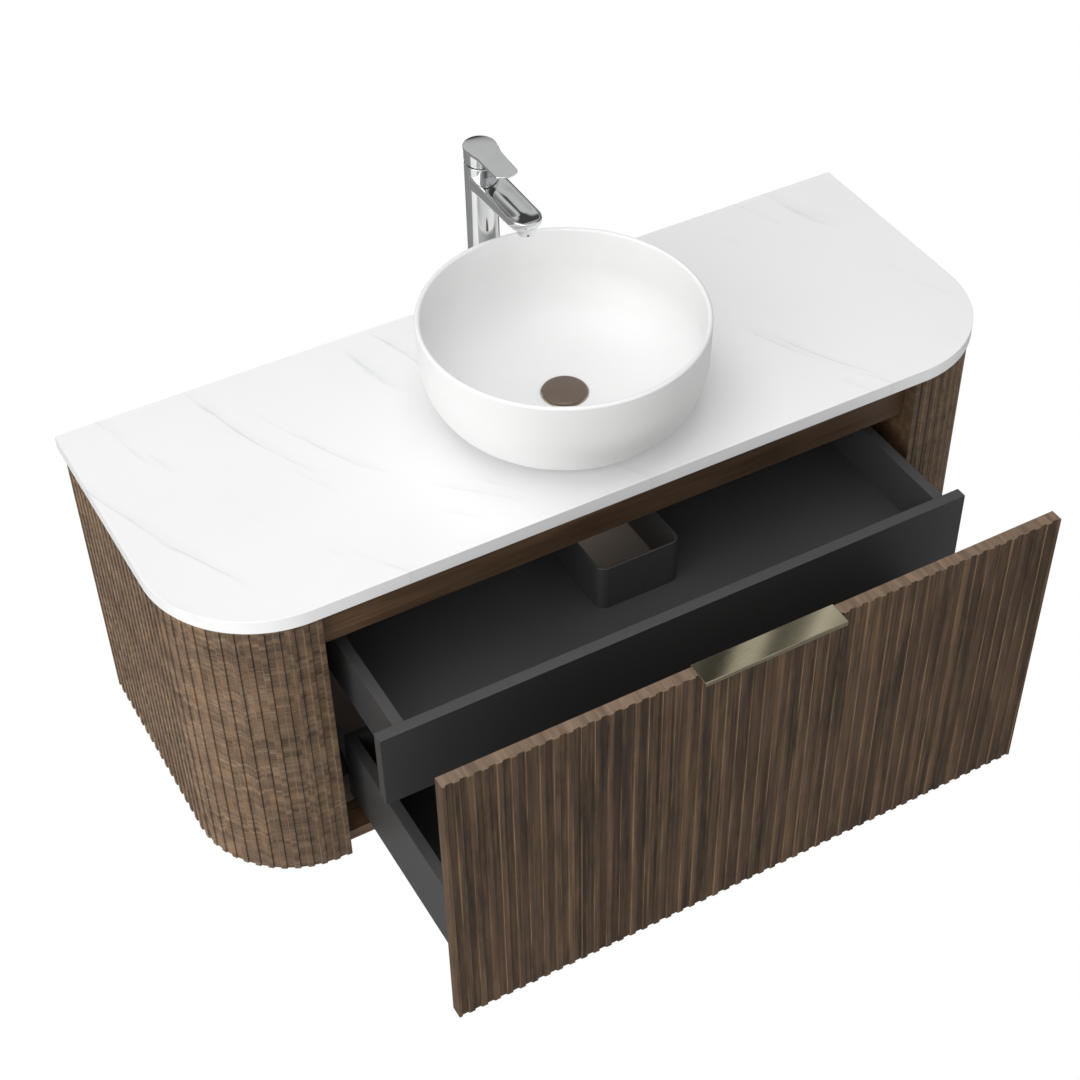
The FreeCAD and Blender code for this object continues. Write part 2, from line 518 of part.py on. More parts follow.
def hat(xc, half, top, bot, t):
    """Downward-open channel section in (x, z)."""
    return [(xc - half, bot), (xc - half, top), (xc + half, top), (xc + half, bot), (xc + half - t, bot),
            (xc + half - t, top - t), (xc - half + t, top - t), (xc - half + t, bot)]


RUN_X = -376.0
RT = 1.2


def runner(under, shut_y0, length, out, name):
    """under: underside of the drawer floor.  shut_y0: front end when shut."""
    zb = under - 15.0
    drawer = extrude_y(hat(RUN_X, 13.0, under, zb + 1.0, RT), shut_y0, shut_y0 + length)
    mid = extrude_y(hat(RUN_X, 11.3, under - RT - 0.5, zb + 0.5, RT), shut_y0 + 4.0, shut_y0 + length - 6.0)
    top3 = under - 2 * RT - 1.0
    arm = [(-OPEN_HALF, zb - 2.0), (RUN_X + 9.6, zb - 2.0), (RUN_X + 9.6, top3), (RUN_X - 9.6, top3),
           (RUN_X - 9.6, zb - 2.0 + RT), (-OPEN_HALF + RT, zb - 2.0 + RT), (-OPEN_HALF + RT, zb + 14.0),
           (-OPEN_HALF, zb + 14.0)]
    cab = extrude_y(arm, shut_y0 - 4.0, shut_y0 + length)
    # the arm to the wall starts behind the runner's front end
    cab = cab.cut(box(-OPEN_HALF - 1.0, RUN_X - 9.6, shut_y0 - 5.0, shut_y0 + 70.0, zb - 3.0, zb + 15.0))
    d = drawer.copy()
    d.translate(V(0, -out, 0))
    m = mid.copy()
    m.translate(V(0, -out / 2.0, 0))
    parts[name + "_runner_cabinet_left"] = cab
    parts[name + "_runner_cabinet_right"] = mirror_x(cab)
    parts[name + "_runner_middle"] = group([m, mirror_x(m)])
    parts[name + "_runner_drawer"] = group([d, mirror_x(d)])


runner(FL_TOP_I - FLOOR_T, ib + 4.0, 320.0, INNER_OUT, "inner")
runner(FL_TOP_L - FLOOR_T, fb + 6.0, 330.0, LOWER_OUT, "lower")

# ---- export ---------------------------------------------------------------------------
os.makedirs("parts", exist_ok=True)
for name, shp in parts.items():
    for i, s in enumerate(shp.Solids):
        if not s.isValid() or s.Volume <= 0:
            print("BAD SOLID", name, i)
    if not shp.Solids:
        print("NO SOLID", name)
    shp.exportStep("parts/" + name + ".step")
print("nodes", len(parts))
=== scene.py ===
import bpy
import json
import math
from mathutils import Vector, Matrix
from mathutils.geometry import tessellate_polygon

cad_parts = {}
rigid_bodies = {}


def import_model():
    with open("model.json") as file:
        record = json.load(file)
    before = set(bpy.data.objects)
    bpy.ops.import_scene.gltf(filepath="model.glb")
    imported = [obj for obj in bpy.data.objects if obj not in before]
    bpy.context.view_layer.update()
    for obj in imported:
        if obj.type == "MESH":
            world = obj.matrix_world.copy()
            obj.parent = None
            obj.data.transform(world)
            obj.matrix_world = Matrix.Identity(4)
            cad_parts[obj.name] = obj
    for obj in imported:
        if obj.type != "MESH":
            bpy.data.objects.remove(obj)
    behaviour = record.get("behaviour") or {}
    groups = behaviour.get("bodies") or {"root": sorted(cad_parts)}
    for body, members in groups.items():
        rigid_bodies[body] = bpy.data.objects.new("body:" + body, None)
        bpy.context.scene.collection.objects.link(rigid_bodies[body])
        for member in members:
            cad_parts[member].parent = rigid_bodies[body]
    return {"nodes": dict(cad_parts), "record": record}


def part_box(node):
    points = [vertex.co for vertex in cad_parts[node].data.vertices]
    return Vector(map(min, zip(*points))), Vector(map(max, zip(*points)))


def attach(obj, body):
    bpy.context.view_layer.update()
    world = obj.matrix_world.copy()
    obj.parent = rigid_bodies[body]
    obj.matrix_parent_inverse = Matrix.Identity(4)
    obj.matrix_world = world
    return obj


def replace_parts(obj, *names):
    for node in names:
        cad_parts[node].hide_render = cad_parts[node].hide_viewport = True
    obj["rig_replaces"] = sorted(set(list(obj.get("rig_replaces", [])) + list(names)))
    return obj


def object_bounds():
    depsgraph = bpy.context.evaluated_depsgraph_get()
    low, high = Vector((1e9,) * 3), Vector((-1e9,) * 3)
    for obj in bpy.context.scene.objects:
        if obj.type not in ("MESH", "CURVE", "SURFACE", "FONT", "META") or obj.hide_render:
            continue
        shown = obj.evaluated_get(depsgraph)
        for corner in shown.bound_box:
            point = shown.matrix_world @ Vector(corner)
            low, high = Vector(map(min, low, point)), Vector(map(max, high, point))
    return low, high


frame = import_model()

cad_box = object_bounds()
REC = frame["record"]
NODES = frame["nodes"]
BODY = {n: b for b, ns in REC["behaviour"]["bodies"].items() for n in ns}
SLOT = {s["node"]: s["material_slot"] for s in REC["subparts"]}
MM = 0.001
COL = bpy.context.scene.collection


# ------------------------------------------------------------------ shader kit
class Mat:
    """A small wrapper that builds one procedural material."""

    def __init__(self, name):
        self.m = bpy.data.materials.new(name)
        self.m.use_nodes = True
        self.t = self.m.node_tree
        self.t.nodes.clear()
        self.out = self.t.nodes.new("ShaderNodeOutputMaterial")
        self.p = self.t.nodes.new("ShaderNodeBsdfPrincipled")
        self.t.links.new(self.p.outputs[0], self.out.inputs[0])
        self.tc = self.t.nodes.new("ShaderNodeTexCoord")

    def set(self, **kw):
        for k, v in kw.items():
            self.p.inputs[k.replace("_", " ")].default_value = v
        return self

    def link(self, a, b):
        self.t.links.new(a, b)

    def node(self, kind, **kw):
        n = self.t.nodes.new(kind)
        for k, v in kw.items():
            setattr(n, k, v)
        return n

    def obj(self):
        return self.tc.outputs["Object"]

    def uv(self):
        return self.tc.outputs["UV"]

    def scaled(self, src, sc, loc=(0, 0, 0), rot=(0, 0, 0)):
        n = self.node("ShaderNodeMapping")
        n.inputs["Scale"].default_value = sc
        n.inputs["Location"].default_value = loc
        n.inputs["Rotation"].default_value = rot
        self.link(src, n.inputs["Vector"])
        return n.outputs[0]

    def noise(self, vec, scale, detail=4.0, rough=0.55, dist=0.0, lac=2.0):
        n = self.node("ShaderNodeTexNoise")
        n.inputs["Scale"].default_value = scale
        n.inputs["Detail"].default_value = detail
        n.inputs["Roughness"].default_value = rough
        n.inputs["Distortion"].default_value = dist
        n.inputs["Lacunarity"].default_value = lac
        self.link(vec, n.inputs["Vector"])
        return n.outputs["Fac"]

    def math(self, op, a, b=None, c=None, clamp=False):
        n = self.node("ShaderNodeMath", operation=op, use_clamp=clamp)
        for i, v in enumerate((a, b, c)):
            if v is None:
                continue
            if isinstance(v, (int, float)):
                n.inputs[i].default_value = v
            else:
                self.link(v, n.inputs[i])
        return n.outputs[0]

    def ramp(self, fac, stops, interp="LINEAR"):
        n = self.node("ShaderNodeValToRGB")
        n.color_ramp.interpolation = interp
        els = n.color_ramp.elements
        while len(els) < len(stops):
            els.new(0.5)
        for e, (pos, col) in zip(els, stops):
            e.position = pos
            e.color = (*col, 1.0) if len(col) == 3 else col
        self.link(fac, n.inputs["Fac"])
        return n.outputs["Color"]

    def span(self, v, a, b, c, d):
        """Maps v from a..b to c..d, clamped."""
        n = self.node("ShaderNodeMapRange", clamp=True)
        for i, x in enumerate((a, b, c, d)):
            n.inputs[i + 1].default_value = x
        self.link(v, n.inputs[0])
        return n.outputs[0]

    def mix(self, fac, a, b, mode="MIX"):
        n = self.node("ShaderNodeMix", data_type="RGBA", blend_type=mode)
        n.clamp_factor = True
        for idx, v in ((0, fac), (6, a), (7, b)):
            if isinstance(v, (int, float)):
                n.inputs[idx].default_value = v
            elif isinstance(v, tuple):
                n.inputs[idx].default_value = (*v, 1.0)
            else:
                self.link(v, n.inputs[idx])
        return n.outputs[2]

    def sep(self, vec):
        n = self.node("ShaderNodeSeparateXYZ")
        self.link(vec, n.inputs[0])
        return n.outputs

    def comb(self, x, y, z):
        n = self.node("ShaderNodeCombineXYZ")
        for i, v in enumerate((x, y, z)):
            if isinstance(v, (int, float)):
                n.inputs[i].default_value = v
            else:
                self.link(v, n.inputs[i])
        return n.outputs[0]

    def attr(self, name):
        n = self.node("ShaderNodeAttribute", attribute_name=name)
        return n.outputs["Fac"]

    def color(self, c):
        self.link(c, self.p.inputs["Base Color"])
        return self

    def rough(self, r):
        self.link(r, self.p.inputs["Roughness"])
        return self

    def bump(self, height, strength=0.2, dist=0.001):
        n = self.node("ShaderNodeBump")
        n.inputs["Strength"].default_value = strength
        n.inputs["Distance"].default_value = dist
        self.link(height, n.inputs["Height"])
        self.link(n.outputs[0], self.p.inputs["Normal"])
        return self


def srgb(r, g, b, k=1.0):
    def f(c):
        c = c / 255.0
        return (c / 12.92 if c <= 0.04045 else ((c + 0.055) / 1.055) ** 2.4) * k
    return (f(r), f(g), f(b))


# ------------------------------------------------------------------- materials
def mat_stone():
    m = Mat("marble_slab")
    o = m.obj()
    # broad clouding
    cloud = m.noise(o, 3.2, 4, 0.5, 0.3)
    base = m.ramp(cloud, [(0.3, (0.915, 0.917, 0.920)), (0.7, (0.945, 0.945, 0.945))])
    # x runs along the veins, from the back left to the front right of the slab
    v = m.scaled(o, (1.0, 1.0, 1.0), rot=(0, 0, math.radians(64)))
    s = m.sep(v)
    bend = m.noise(m.scaled(v, (1.6, 3.0, 1.0), loc=(1.3, 0.4, 0)), 1.0, 2, 0.45)
    fray = m.noise(m.scaled(v, (9.0, 30.0, 1.0)), 1.0, 3, 0.55)
    dash = m.span(m.noise(m.scaled(v, (14.0, 5.0, 1.0), loc=(2.2, 0.9, 0)), 1.0, 3, 0.6), 0.42, 0.62, 0.25, 1.0)
    col = base
    # three families of veins: spacing, shift, width, halo, where they show, strength
    for k, (step, shift, w, halo, lo_, hi_, dark, pale) in enumerate([
            (4.3, 0.17, 0.013, 0.085, 0.50, 0.63, 0.34, 0.11),
            (6.7, 0.61, 0.018, 0.110, 0.52, 0.64, 0.26, 0.10),
            (10.3, 0.33, 0.024, 0.150, 0.54, 0.67, 0.20, 0.08)]):
        line = m.math("ADD", m.math("MULTIPLY", s[1], step), m.math("MULTIPLY", bend, 1.5 + 0.3 * k))
        line = m.math("ADD", m.math("ADD", line, m.math("MULTIPLY", fray, 0.10)), shift)
        fr = m.math("SUBTRACT", m.math("FRACT", line), 0.5)
        thin = m.span(m.math("ABSOLUTE", fr), 0.0, w, 1.0, 0.0)
        # the halo lies on one side of its vein
        side = m.math("MULTIPLY", m.span(fr, -0.004, 0.0, 0.0, 1.0), m.span(fr, 0.0, halo, 1.0, 0.0))
        g = m.noise(m.scaled(v, (4.2 + k, 6.0 + 3 * k, 1.0), loc=(3.1 + 5 * k, 1.7 - 2 * k, 0)), 1.0, 2, 0.5)
        gate = m.span(g, lo_, hi_, 0.0, 1.0)
        col = m.mix(m.math("MULTIPLY", m.math("MULTIPLY", side, gate), pale), col, (0.60, 0.61, 0.625))
        col = m.mix(m.math("MULTIPLY", m.math("MULTIPLY", m.math("MULTIPLY", thin, gate), dash), dark), col, (0.42, 0.43, 0.445))
    m.color(col)
    m.rough(m.span(cloud, 0.3, 0.7, 0.30, 0.42))
    m.set(IOR=1.5)
    m.bump(m.noise(o, 900, 2, 0.5), 0.04, 0.0004)
    return m.m


def wood_tones(m, f, dark, mid, light):
    return m.ramp(f, [(0.22, dark), (0.50, mid), (0.80, light)])


def mat_walnut_front():
    """Upright grain over the flutes of the drawer front."""
    m = Mat("walnut_fluted_front")
    o = m.obj()
    s = m.sep(o)
    wob = m.noise(m.scaled(o, (3, 3, 2.5)), 1.0, 2, 0.5)
    v = m.comb(m.math("ADD", s[0], m.math("MULTIPLY", wob, 0.005)), s[1], s[2])
    fibre = m.noise(m.scaled(v, (1, 1, 0.035)), 260, 5, 0.62)
    band = m.noise(m.scaled(v, (1, 0.2, 0.07)), 46, 4, 0.6)
    broad = m.noise(m.scaled(v, (1, 0.2, 0.35)), 5.0, 3, 0.55)
    fleck = m.noise(m.scaled(v, (1, 1, 0.30)), 130, 3, 0.6)
    f = m.math("ADD", m.math("MULTIPLY", fibre, 0.40), m.math("MULTIPLY", band, 0.47))
    f = m.math("ADD", f, m.math("MULTIPLY", broad, 0.13))
    f = m.math("ADD", f, m.math("MULTIPLY", m.math("SUBTRACT", fleck, 0.5), 0.14))
    # each strip of veneer has its own tone
    strip = m.node("ShaderNodeTexWhiteNoise", noise_dimensions="1D")
    m.link(m.math("FLOOR", m.math("DIVIDE", s[0], 0.0089)), strip.inputs["W"])
    f = m.math("ADD", f, m.math("MULTIPLY", m.math("SUBTRACT", strip.outputs["Value"], 0.5), 0.10))
    f = m.span(f, 0.40, 0.64, 0.0, 1.0)
    col = m.ramp(f, [(0.02, FD), (0.45, FM), (0.98, FL)])
    hue = m.span(m.noise(m.scaled(v, (1, 0.2, 0.15)), 24, 2, 0.5), 0.45, 0.62, 0.0, 0.35)
    col = m.mix(hue, col, srgb(92, 68, 50))
    pore = m.span(m.noise(m.scaled(v, (1, 1, 0.012)), 520, 2, 0.5), 0.60, 0.70, 0.0, 0.40)
    col = m.mix(pore, col, (0.022, 0.015, 0.010))
    # painted shade: the groove attribute darkens the flute walls and groove feet that lie in shadow
    col = m.mix(m.math("MULTIPLY", m.attr("groove"), 0.70), col, (0.016, 0.011, 0.008))
    # painted highlight: a light line along the lit left edge of each land
    ridge_highlight = m.math("MULTIPLY", m.attr("ridge_highlight"), m.span(m.noise(m.scaled(o, (1, 1, 0.10)), 70, 2, 0.5), 0.40, 0.60, 0.05, 0.85))
    col = m.mix(ridge_highlight, col, srgb(158, 129, 97))
    # sawn board edges, lighter than the face
    capt = m.noise(m.scaled(o, (150, 16, 16)), 1.0, 4, 0.6)
    col = m.mix(m.attr("cap"), col, m.ramp(capt, [(0.34, srgb(104, 85, 69)), (0.50, srgb(121, 100, 82)), (0.66, srgb(138, 115, 95))]))
    m.color(col)
    m.rough(m.span(fibre, 0.3, 0.7, 0.46, 0.60))
    m.set(IOR=1.40)
    m.bump(m.math("ADD", fibre, m.math("MULTIPLY", pore, -0.8)), 0.18, 0.0004)
    return m.m


FD = srgb(47, 35, 24)
FM = srgb(78, 60, 43)
FL = srgb(109, 85, 60)
# the fourth tone is the painted highlight on the lit flute edges
WOOD = (srgb(88, 70, 54), srgb(124, 101, 80), srgb(164, 137, 109), srgb(184, 154, 122))


def mat_walnut_side(name="walnut_fluted_side", k=1.10, shade=0.60, patch=0.42, turn_shade_depth=0.42, lo=0.42, hi=0.62):
    """Grain lies level round the sides, broken up from flute to flute."""
    m = Mat(name)
    WD, WM, WL = (tuple(c * k for c in t) for t in WOOD[:3])
    EDGE_HIGHLIGHT = tuple(c * max(k, 0.80) for c in WOOD[3])
    s = m.sep(m.uv())
    half = m.math("FLOOR", m.math("DIVIDE", s[0], 0.009025))
    rnd = m.node("ShaderNodeTexWhiteNoise", noise_dimensions="1D")
    m.link(half, rnd.inputs["W"])
    r = rnd.outputs["Value"]
    v = m.comb(s[0], m.math("ADD", s[1], m.math("MULTIPLY", r, 0.012)), m.math("MULTIPLY", r, 0.02))
    fine = m.noise(m.scaled(v, (14, 620, 1)), 1.0, 4, 0.62)
    band = m.noise(m.scaled(v, (4.5, 130, 1)), 1.0, 4, 0.55)
    block = m.noise(m.comb(m.math("MULTIPLY", half, 0.55), m.math("MULTIPLY", m.math("ADD", s[1], m.math("MULTIPLY", r, 0.03)), 34.0), 0.0), 1.0, 2, 0.5)
    broad = m.noise(m.scaled(m.uv(), (2.4, 9.0, 1)), 1.0, 3, 0.5, 0.3)
    f = m.math("ADD", m.math("MULTIPLY", fine, 0.38), m.math("MULTIPLY", band, 0.34))
    f = m.math("ADD", f, m.math("MULTIPLY", broad, 0.12))
    f = m.math("ADD", f, m.math("MULTIPLY", block, 0.20))
    f = m.span(f, lo, hi, 0.0, 1.0)
    col = m.ramp(f, [(0.05, WD), (0.50, WM), (0.95, WL)])
    warm = m.span(m.noise(m.comb(m.math("MULTIPLY", half, 0.8), m.math("MULTIPLY", s[1], 16.0), 3.0), 1.0, 3, 0.6), 0.50, 0.66, 0.0, patch)
    col = m.mix(warm, col, srgb(156, 120, 84, k))
    grey = m.span(m.noise(m.comb(m.math("MULTIPLY", half, 0.7), m.math("MULTIPLY", s[1], 13.0), 9.0), 1.0, 3, 0.6), 0.54, 0.68, 0.0, 0.35)
    col = m.mix(grey, col, srgb(116, 101, 88, k))
    speck = m.span(m.noise(m.scaled(v, (150, 900, 1)), 1.0, 2, 0.5), 0.60, 0.74, 0.0, 0.40)
    col = m.mix(speck, col, (0.040, 0.025, 0.016))
    # painted shade: the groove attribute, scaled by shade, darkens flute walls and floors that lie in shadow
    col = m.mix(m.math("MULTIPLY", m.attr("groove"), shade), col, (0.020, 0.013, 0.009))
    # painted highlight: the pale edge tone laid on the lit flute edges
    ridge_highlight = m.math("MULTIPLY", m.attr("ridge_highlight"), m.span(m.noise(m.comb(m.math("MULTIPLY", half, 3.7), m.math("MULTIPLY", s[1], 60.0), 0.0), 1.0, 2, 0.5), 0.32, 0.54, 0.10, 0.95))
    col = m.mix(ridge_highlight, col, EDGE_HIGHLIGHT)
    # painted shade: the veneer darkens towards the opening, where the panel turns away from the key light, down to the
    # drawer front's tone
    y_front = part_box("side_panel_left")[0].y
    turn_shade = m.span(m.sep(m.obj())[1], y_front, y_front + 0.085, turn_shade_depth, 0.0)
    col = m.mix(turn_shade, col, (0.0, 0.0, 0.0))
    m.color(col)
    m.rough(m.span(fine, 0.3, 0.7, 0.48, 0.62))
    m.set(IOR=1.40)
    m.bump(fine, 0.16, 0.0004)
    return m.m


def mat_walnut_plain(name="walnut_plain", k=1.1):
    m = Mat(name)
    o = m.obj()
    fibre = m.noise(m.scaled(o, (0.035, 1, 1)), 230, 5, 0.6)
    band = m.noise(m.scaled(o, (0.10, 1, 1)), 34, 4, 0.6, 0.3)
    broad = m.noise(o, 7.0, 3, 0.5)
    f = m.math("ADD", m.math("MULTIPLY", fibre, 0.40), m.math("MULTIPLY", band, 0.40))
    f = m.span(m.math("ADD", f, m.math("MULTIPLY", broad, 0.22)), 0.36, 0.68, 0.0, 1.0)
    col = m.ramp(f, [(0.05, srgb(60, 45, 31, k)), (0.5, srgb(84, 64, 46, k)), (0.95, srgb(114, 88, 64, k))])
    m.color(col)
    m.rough(m.span(fibre, 0.3, 0.7, 0.45, 0.60))
    m.bump(fibre, 0.18, 0.0004)
    return m.m


def mat_carcass(name="carcass_laminate", k=1.0, warm=1.0):
    m = Mat(name)
    o = m.obj()
    g = m.noise(o, 420, 3, 0.6)
    b = m.noise(o, 5, 3, 0.5)
    col = m.mix(m.span(g, 0.3, 0.7, 0.0, 1.0), (0.40 * k, 0.385 * k * warm, 0.37 * k * warm ** 2), (0.47 * k, 0.455 * k * warm, 0.435 * k * warm ** 2))
    col = m.mix(m.span(b, 0.3, 0.7, 0.0, 0.25), col, (0.52 * k, 0.50 * k * warm, 0.48 * k * warm ** 2))
    m.color(col)
    m.rough(m.span(g, 0.3, 0.7, 0.48, 0.62))
    m.bump(g, 0.12, 0.0003)
    return m.m


def mat_graphite(name="graphite_laminate", lo=0.049, hi=0.059, r0=0.36, r1=0.46):
    m = Mat(name)
    o = m.obj()
    g = m.noise(o, 700, 3, 0.6)
    b = m.noise(o, 4, 3, 0.5)
    col = m.mix(m.span(g, 0.3, 0.7, 0.0, 1.0), (lo, lo, lo * 1.02), (hi, hi, hi * 1.02))
    col = m.mix(m.span(b, 0.3, 0.7, 0.0, 0.3), col, (hi * 1.25, hi * 1.24, hi * 1.24))
    m.color(col)
    m.rough(m.span(b, 0.3, 0.7, r0, r1))
    m.set(IOR=1.5)
    m.bump(g, 0.10, 0.0002)
    return m.m


def mat_ceramic():
    m = Mat("matt_ceramic")
    o = m.obj()
    b = m.noise(o, 6, 3, 0.5)
    g = m.noise(o, 900, 2, 0.5)
    col = m.mix(m.span(b, 0.3, 0.7, 0.0, 1.0), (0.882, 0.882, 0.881), (0.898, 0.898, 0.896))
    m.color(col)
    m.rough(m.span(b, 0.3, 0.7, 0.42, 0.50))
    m.set(IOR=1.5)
    m.bump(g, 0.03, 0.0002)
    return m.m


def mat_chrome():
    m = Mat("polished_chrome")
    o = m.obj()
    b = m.noise(o, 40, 3, 0.5)
    col = m.mix(m.span(b, 0.3, 0.7, 0.0, 1.0), (0.74, 0.745, 0.75), (0.80, 0.805, 0.81))
    m.color(col)
    m.set(Metallic=1.0)
    m.rough(m.span(m.noise(o, 160, 3, 0.6), 0.3, 0.7, 0.025, 0.06))
    m.bump(m.noise(o, 18, 2, 0.5), 0.02, 0.0008)
    return m.m


def mat_bronze():
    m = Mat("brushed_bronze")
    o = m.obj()
    lo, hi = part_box("drain_cap")
    c = (lo + hi) / 2
    s = m.sep(m.scaled(o, (1, 1, 1), loc=(-c.x, -c.y, 0)))
    rad = m.math("SQRT", m.math("ADD", m.math("MULTIPLY", s[0], s[0]), m.math("MULTIPLY", s[1], s[1])))
    ring = m.noise(m.comb(m.math("MULTIPLY", rad, 1500), m.math("MULTIPLY", m.math("ARCTAN2", s[1], s[0]), 1.5), 0.0), 1.0, 3, 0.6)
    col = m.mix(m.span(ring, 0.3, 0.7, 0.0, 1.0), srgb(100, 86, 75), srgb(118, 103, 91))
    m.color(col)
    m.set(Metallic=0.35)
    m.rough(m.span(ring, 0.3, 0.7, 0.38, 0.52))
    m.bump(ring, 0.10, 0.0002)
    return m.m


def mat_pull():
    m = Mat("brushed_champagne")
    o = m.obj()
    g = m.noise(m.scaled(o, (0.02, 1, 1)), 2600, 3, 0.6)
    b = m.noise(m.scaled(o, (0.2, 1, 1)), 90, 2, 0.5)
    col = m.mix(m.span(g, 0.3, 0.7, 0.0, 1.0), srgb(158, 150, 126), srgb(178, 170, 145))
    m.color(col)
    m.set(Metallic=1.0)
    m.rough(m.span(b, 0.3, 0.7, 0.02, 0.038))
    m.bump(g, 0.03, 0.0001)
    return m.m


def mat_metal(name, a, b, r0=0.30, r1=0.45, metallic=1.0, scale=220):
    m = Mat(name)
    o = m.obj()
    g = m.noise(o, scale, 3, 0.6)
    c = m.noise(o, scale * 0.15, 4, 0.6)
    m.color(m.mix(m.span(c, 0.35, 0.65, 0.0, 1.0), a, b))
    m.set(Metallic=metallic)
    m.rough(m.span(g, 0.3, 0.7, r0, r1))
    m.bump(g, 0.08, 0.0002)
    return m.m


def mat_rubber():
    m = Mat("black_rubber")
    o = m.obj()
    g = m.noise(o, 800, 3, 0.6)
    m.color(m.mix(m.span(g, 0.3, 0.7, 0.0, 1.0), (0.012, 0.012, 0.012), (0.028, 0.028, 0.028)))
    m.rough(m.span(g, 0.3, 0.7, 0.55, 0.75))
    m.bump(g, 0.3, 0.0002)
    return m.m


def mat_beech():
    m = Mat("turned_beech")
    o = m.obj()
    g = m.noise(m.scaled(o, (1, 0.05, 1)), 700, 4, 0.6)
    m.color(m.mix(m.span(g, 0.3, 0.7, 0.0, 1.0), (0.42, 0.28, 0.16), (0.60, 0.43, 0.27)))
    m.rough(m.span(g, 0.3, 0.7, 0.5, 0.7))
    m.bump(g, 0.2, 0.0002)
    return m.m


MATS = {
    "stone_slab": mat_stone(),
    "walnut_fluted": mat_walnut_front(),
    "walnut_plain": mat_walnut_plain(),
    "carcass_board": mat_carcass(),
    "ceramic_white": mat_ceramic(),
    "drain_bronze": mat_bronze(),
    "black_rubber": mat_rubber(),
    "drain_brass": mat_metal("machined_brass", (0.55, 0.44, 0.26), (0.66, 0.54, 0.34)),
    "faucet_chrome": mat_chrome(),
    "plated_hardware": mat_metal("zinc_plate", (0.50, 0.51, 0.52), (0.66, 0.66, 0.65)),
    "cartridge_plastic": mat_metal("moulded_plastic", (0.55, 0.55, 0.55), (0.66, 0.66, 0.66), 0.4, 0.55, 0.0),
    "graphite_board": mat_graphite(),
    "shroud_plastic": mat_graphite("graphite_moulded", 0.041, 0.050, 0.30, 0.38),
    "beech_dowel": mat_beech(),
    "pull_metal": mat_pull(),
    "runner_steel": mat_metal("galvanised_steel", (0.42, 0.43, 0.44), (0.62, 0.63, 0.64), 0.32, 0.5),
}
SIDE_WOOD = mat_walnut_side()
# painted shade: a darker copy of the side walnut for the right panel, which faces away from the key light
SIDE_WOOD_RIGHT_SHADED = mat_walnut_side("walnut_fluted_side_right_shaded", 0.74, 0.95, 0.20, 0.14, 0.34, 0.70)
# painted light: a lighter, warmer copy of the carcass laminate for the bottom panel, which lies in shade under the
# drawers
FLOOR_BOARD_LIT = mat_carcass("carcass_laminate_floor_lit", 1.16, 0.88)


# ------------------------------------------------------------------ mesh kit
def fillet(pts, radii, seg=3):
    """Rounds the corners of a closed outline. Returns [(point, corner index or -1)]."""
    n = len(pts)
    out = []
    for i in range(n):
        p = Vector(pts[i])
        a = Vector(pts[i - 1]) - p
        b = Vector(pts[(i + 1) % n]) - p
        la, lb = a.length, b.length
        r = radii[i] if isinstance(radii, (list, tuple)) else radii
        if r <= 0 or la < 1e-9 or lb < 1e-9:
            out.append((p, -1))
            continue
        a.normalize()
        b.normalize()
        ang = math.acos(max(-1, min(1, a.dot(b))))
        if ang > math.radians(176):
            out.append((p, -1))
            continue
        d = min(r / math.tan(ang / 2), 0.45 * la, 0.45 * lb)
        rr = d * math.tan(ang / 2)
        bis = (a + b).normalized()
        c = p + bis * (rr / math.sin(ang / 2))
        t0, t1 = p + a * d, p + b * d
        a0 = math.atan2(t0.y - c.y, t0.x - c.x)
        a1 = math.atan2(t1.y - c.y, t1.x - c.x)
        da = (a1 - a0 + math.pi) % (2 * math.pi) - math.pi
        for k in range(seg + 1):
            t = a0 + da * k / seg
            out.append((Vector((c.x + rr * math.cos(t), c.y + rr * math.sin(t))), i))
    return out


def area2(pts):
    return 0.5 * sum(pts[i - 1][0] * pts[i][1] - pts[i][0] * pts[i - 1][1] for i in range(len(pts)))


def inset(pts, d):
    """Moves a counter-clockwise outline inward by d, by its corner bisectors."""
    if d == 0:
        return [Vector(p) for p in pts]
    n = len(pts)
    out = []
    for i in range(n):
        p = Vector(pts[i])
        e0 = (p - Vector(pts[i - 1]))
        e1 = (Vector(pts[(i + 1) % n]) - p)
        n0 = Vector((-e0.y, e0.x)).normalized() if e0.length > 1e-12 else Vector((0, 0))
        n1 = Vector((-e1.y, e1.x)).normalized() if e1.length > 1e-12 else Vector((0, 0))
        m = n0 + n1
        if m.length < 1e-6:
            m = n0
        m.normalize()
        k = max(0.45, m.dot(n0))
        out.append(p + m * (d / k))
    return out


def make_object(name, verts, faces, nodes, mat=None, uvs=None, face_attrs=None, smooth=35.0, body=None, weighted=True):
    me = bpy.data.meshes.new(name)
    me.from_pydata([tuple(v) for v in verts], [], faces)
    if uvs:
        layer = me.uv_layers.new(name="UVMap")
        k = 0
        for f in uvs:
            for u in f:
                layer.data[k].uv = u
                k += 1
    for key, vals in (face_attrs or {}).items():
        a = me.attributes.new(key, "FLOAT", "FACE")
        a.data.foreach_set("value", vals)
    me.validate()
    me.update()
    for p in me.polygons:
        p.use_smooth = True
    me.set_sharp_from_angle(angle=math.radians(smooth))
    ob = bpy.data.objects.new(name, me)
    COL.objects.link(ob)
    nodes = [nodes] if isinstance(nodes, str) else list(nodes)
    me.materials.append(mat or MATS[SLOT[nodes[0]]])
    if weighted:
        w = ob.modifiers.new("WeightedNormal", "WEIGHTED_NORMAL")
        w.keep_sharp = True
    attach(ob, body or BODY[nodes[0]])
    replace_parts(ob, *nodes)
    return ob


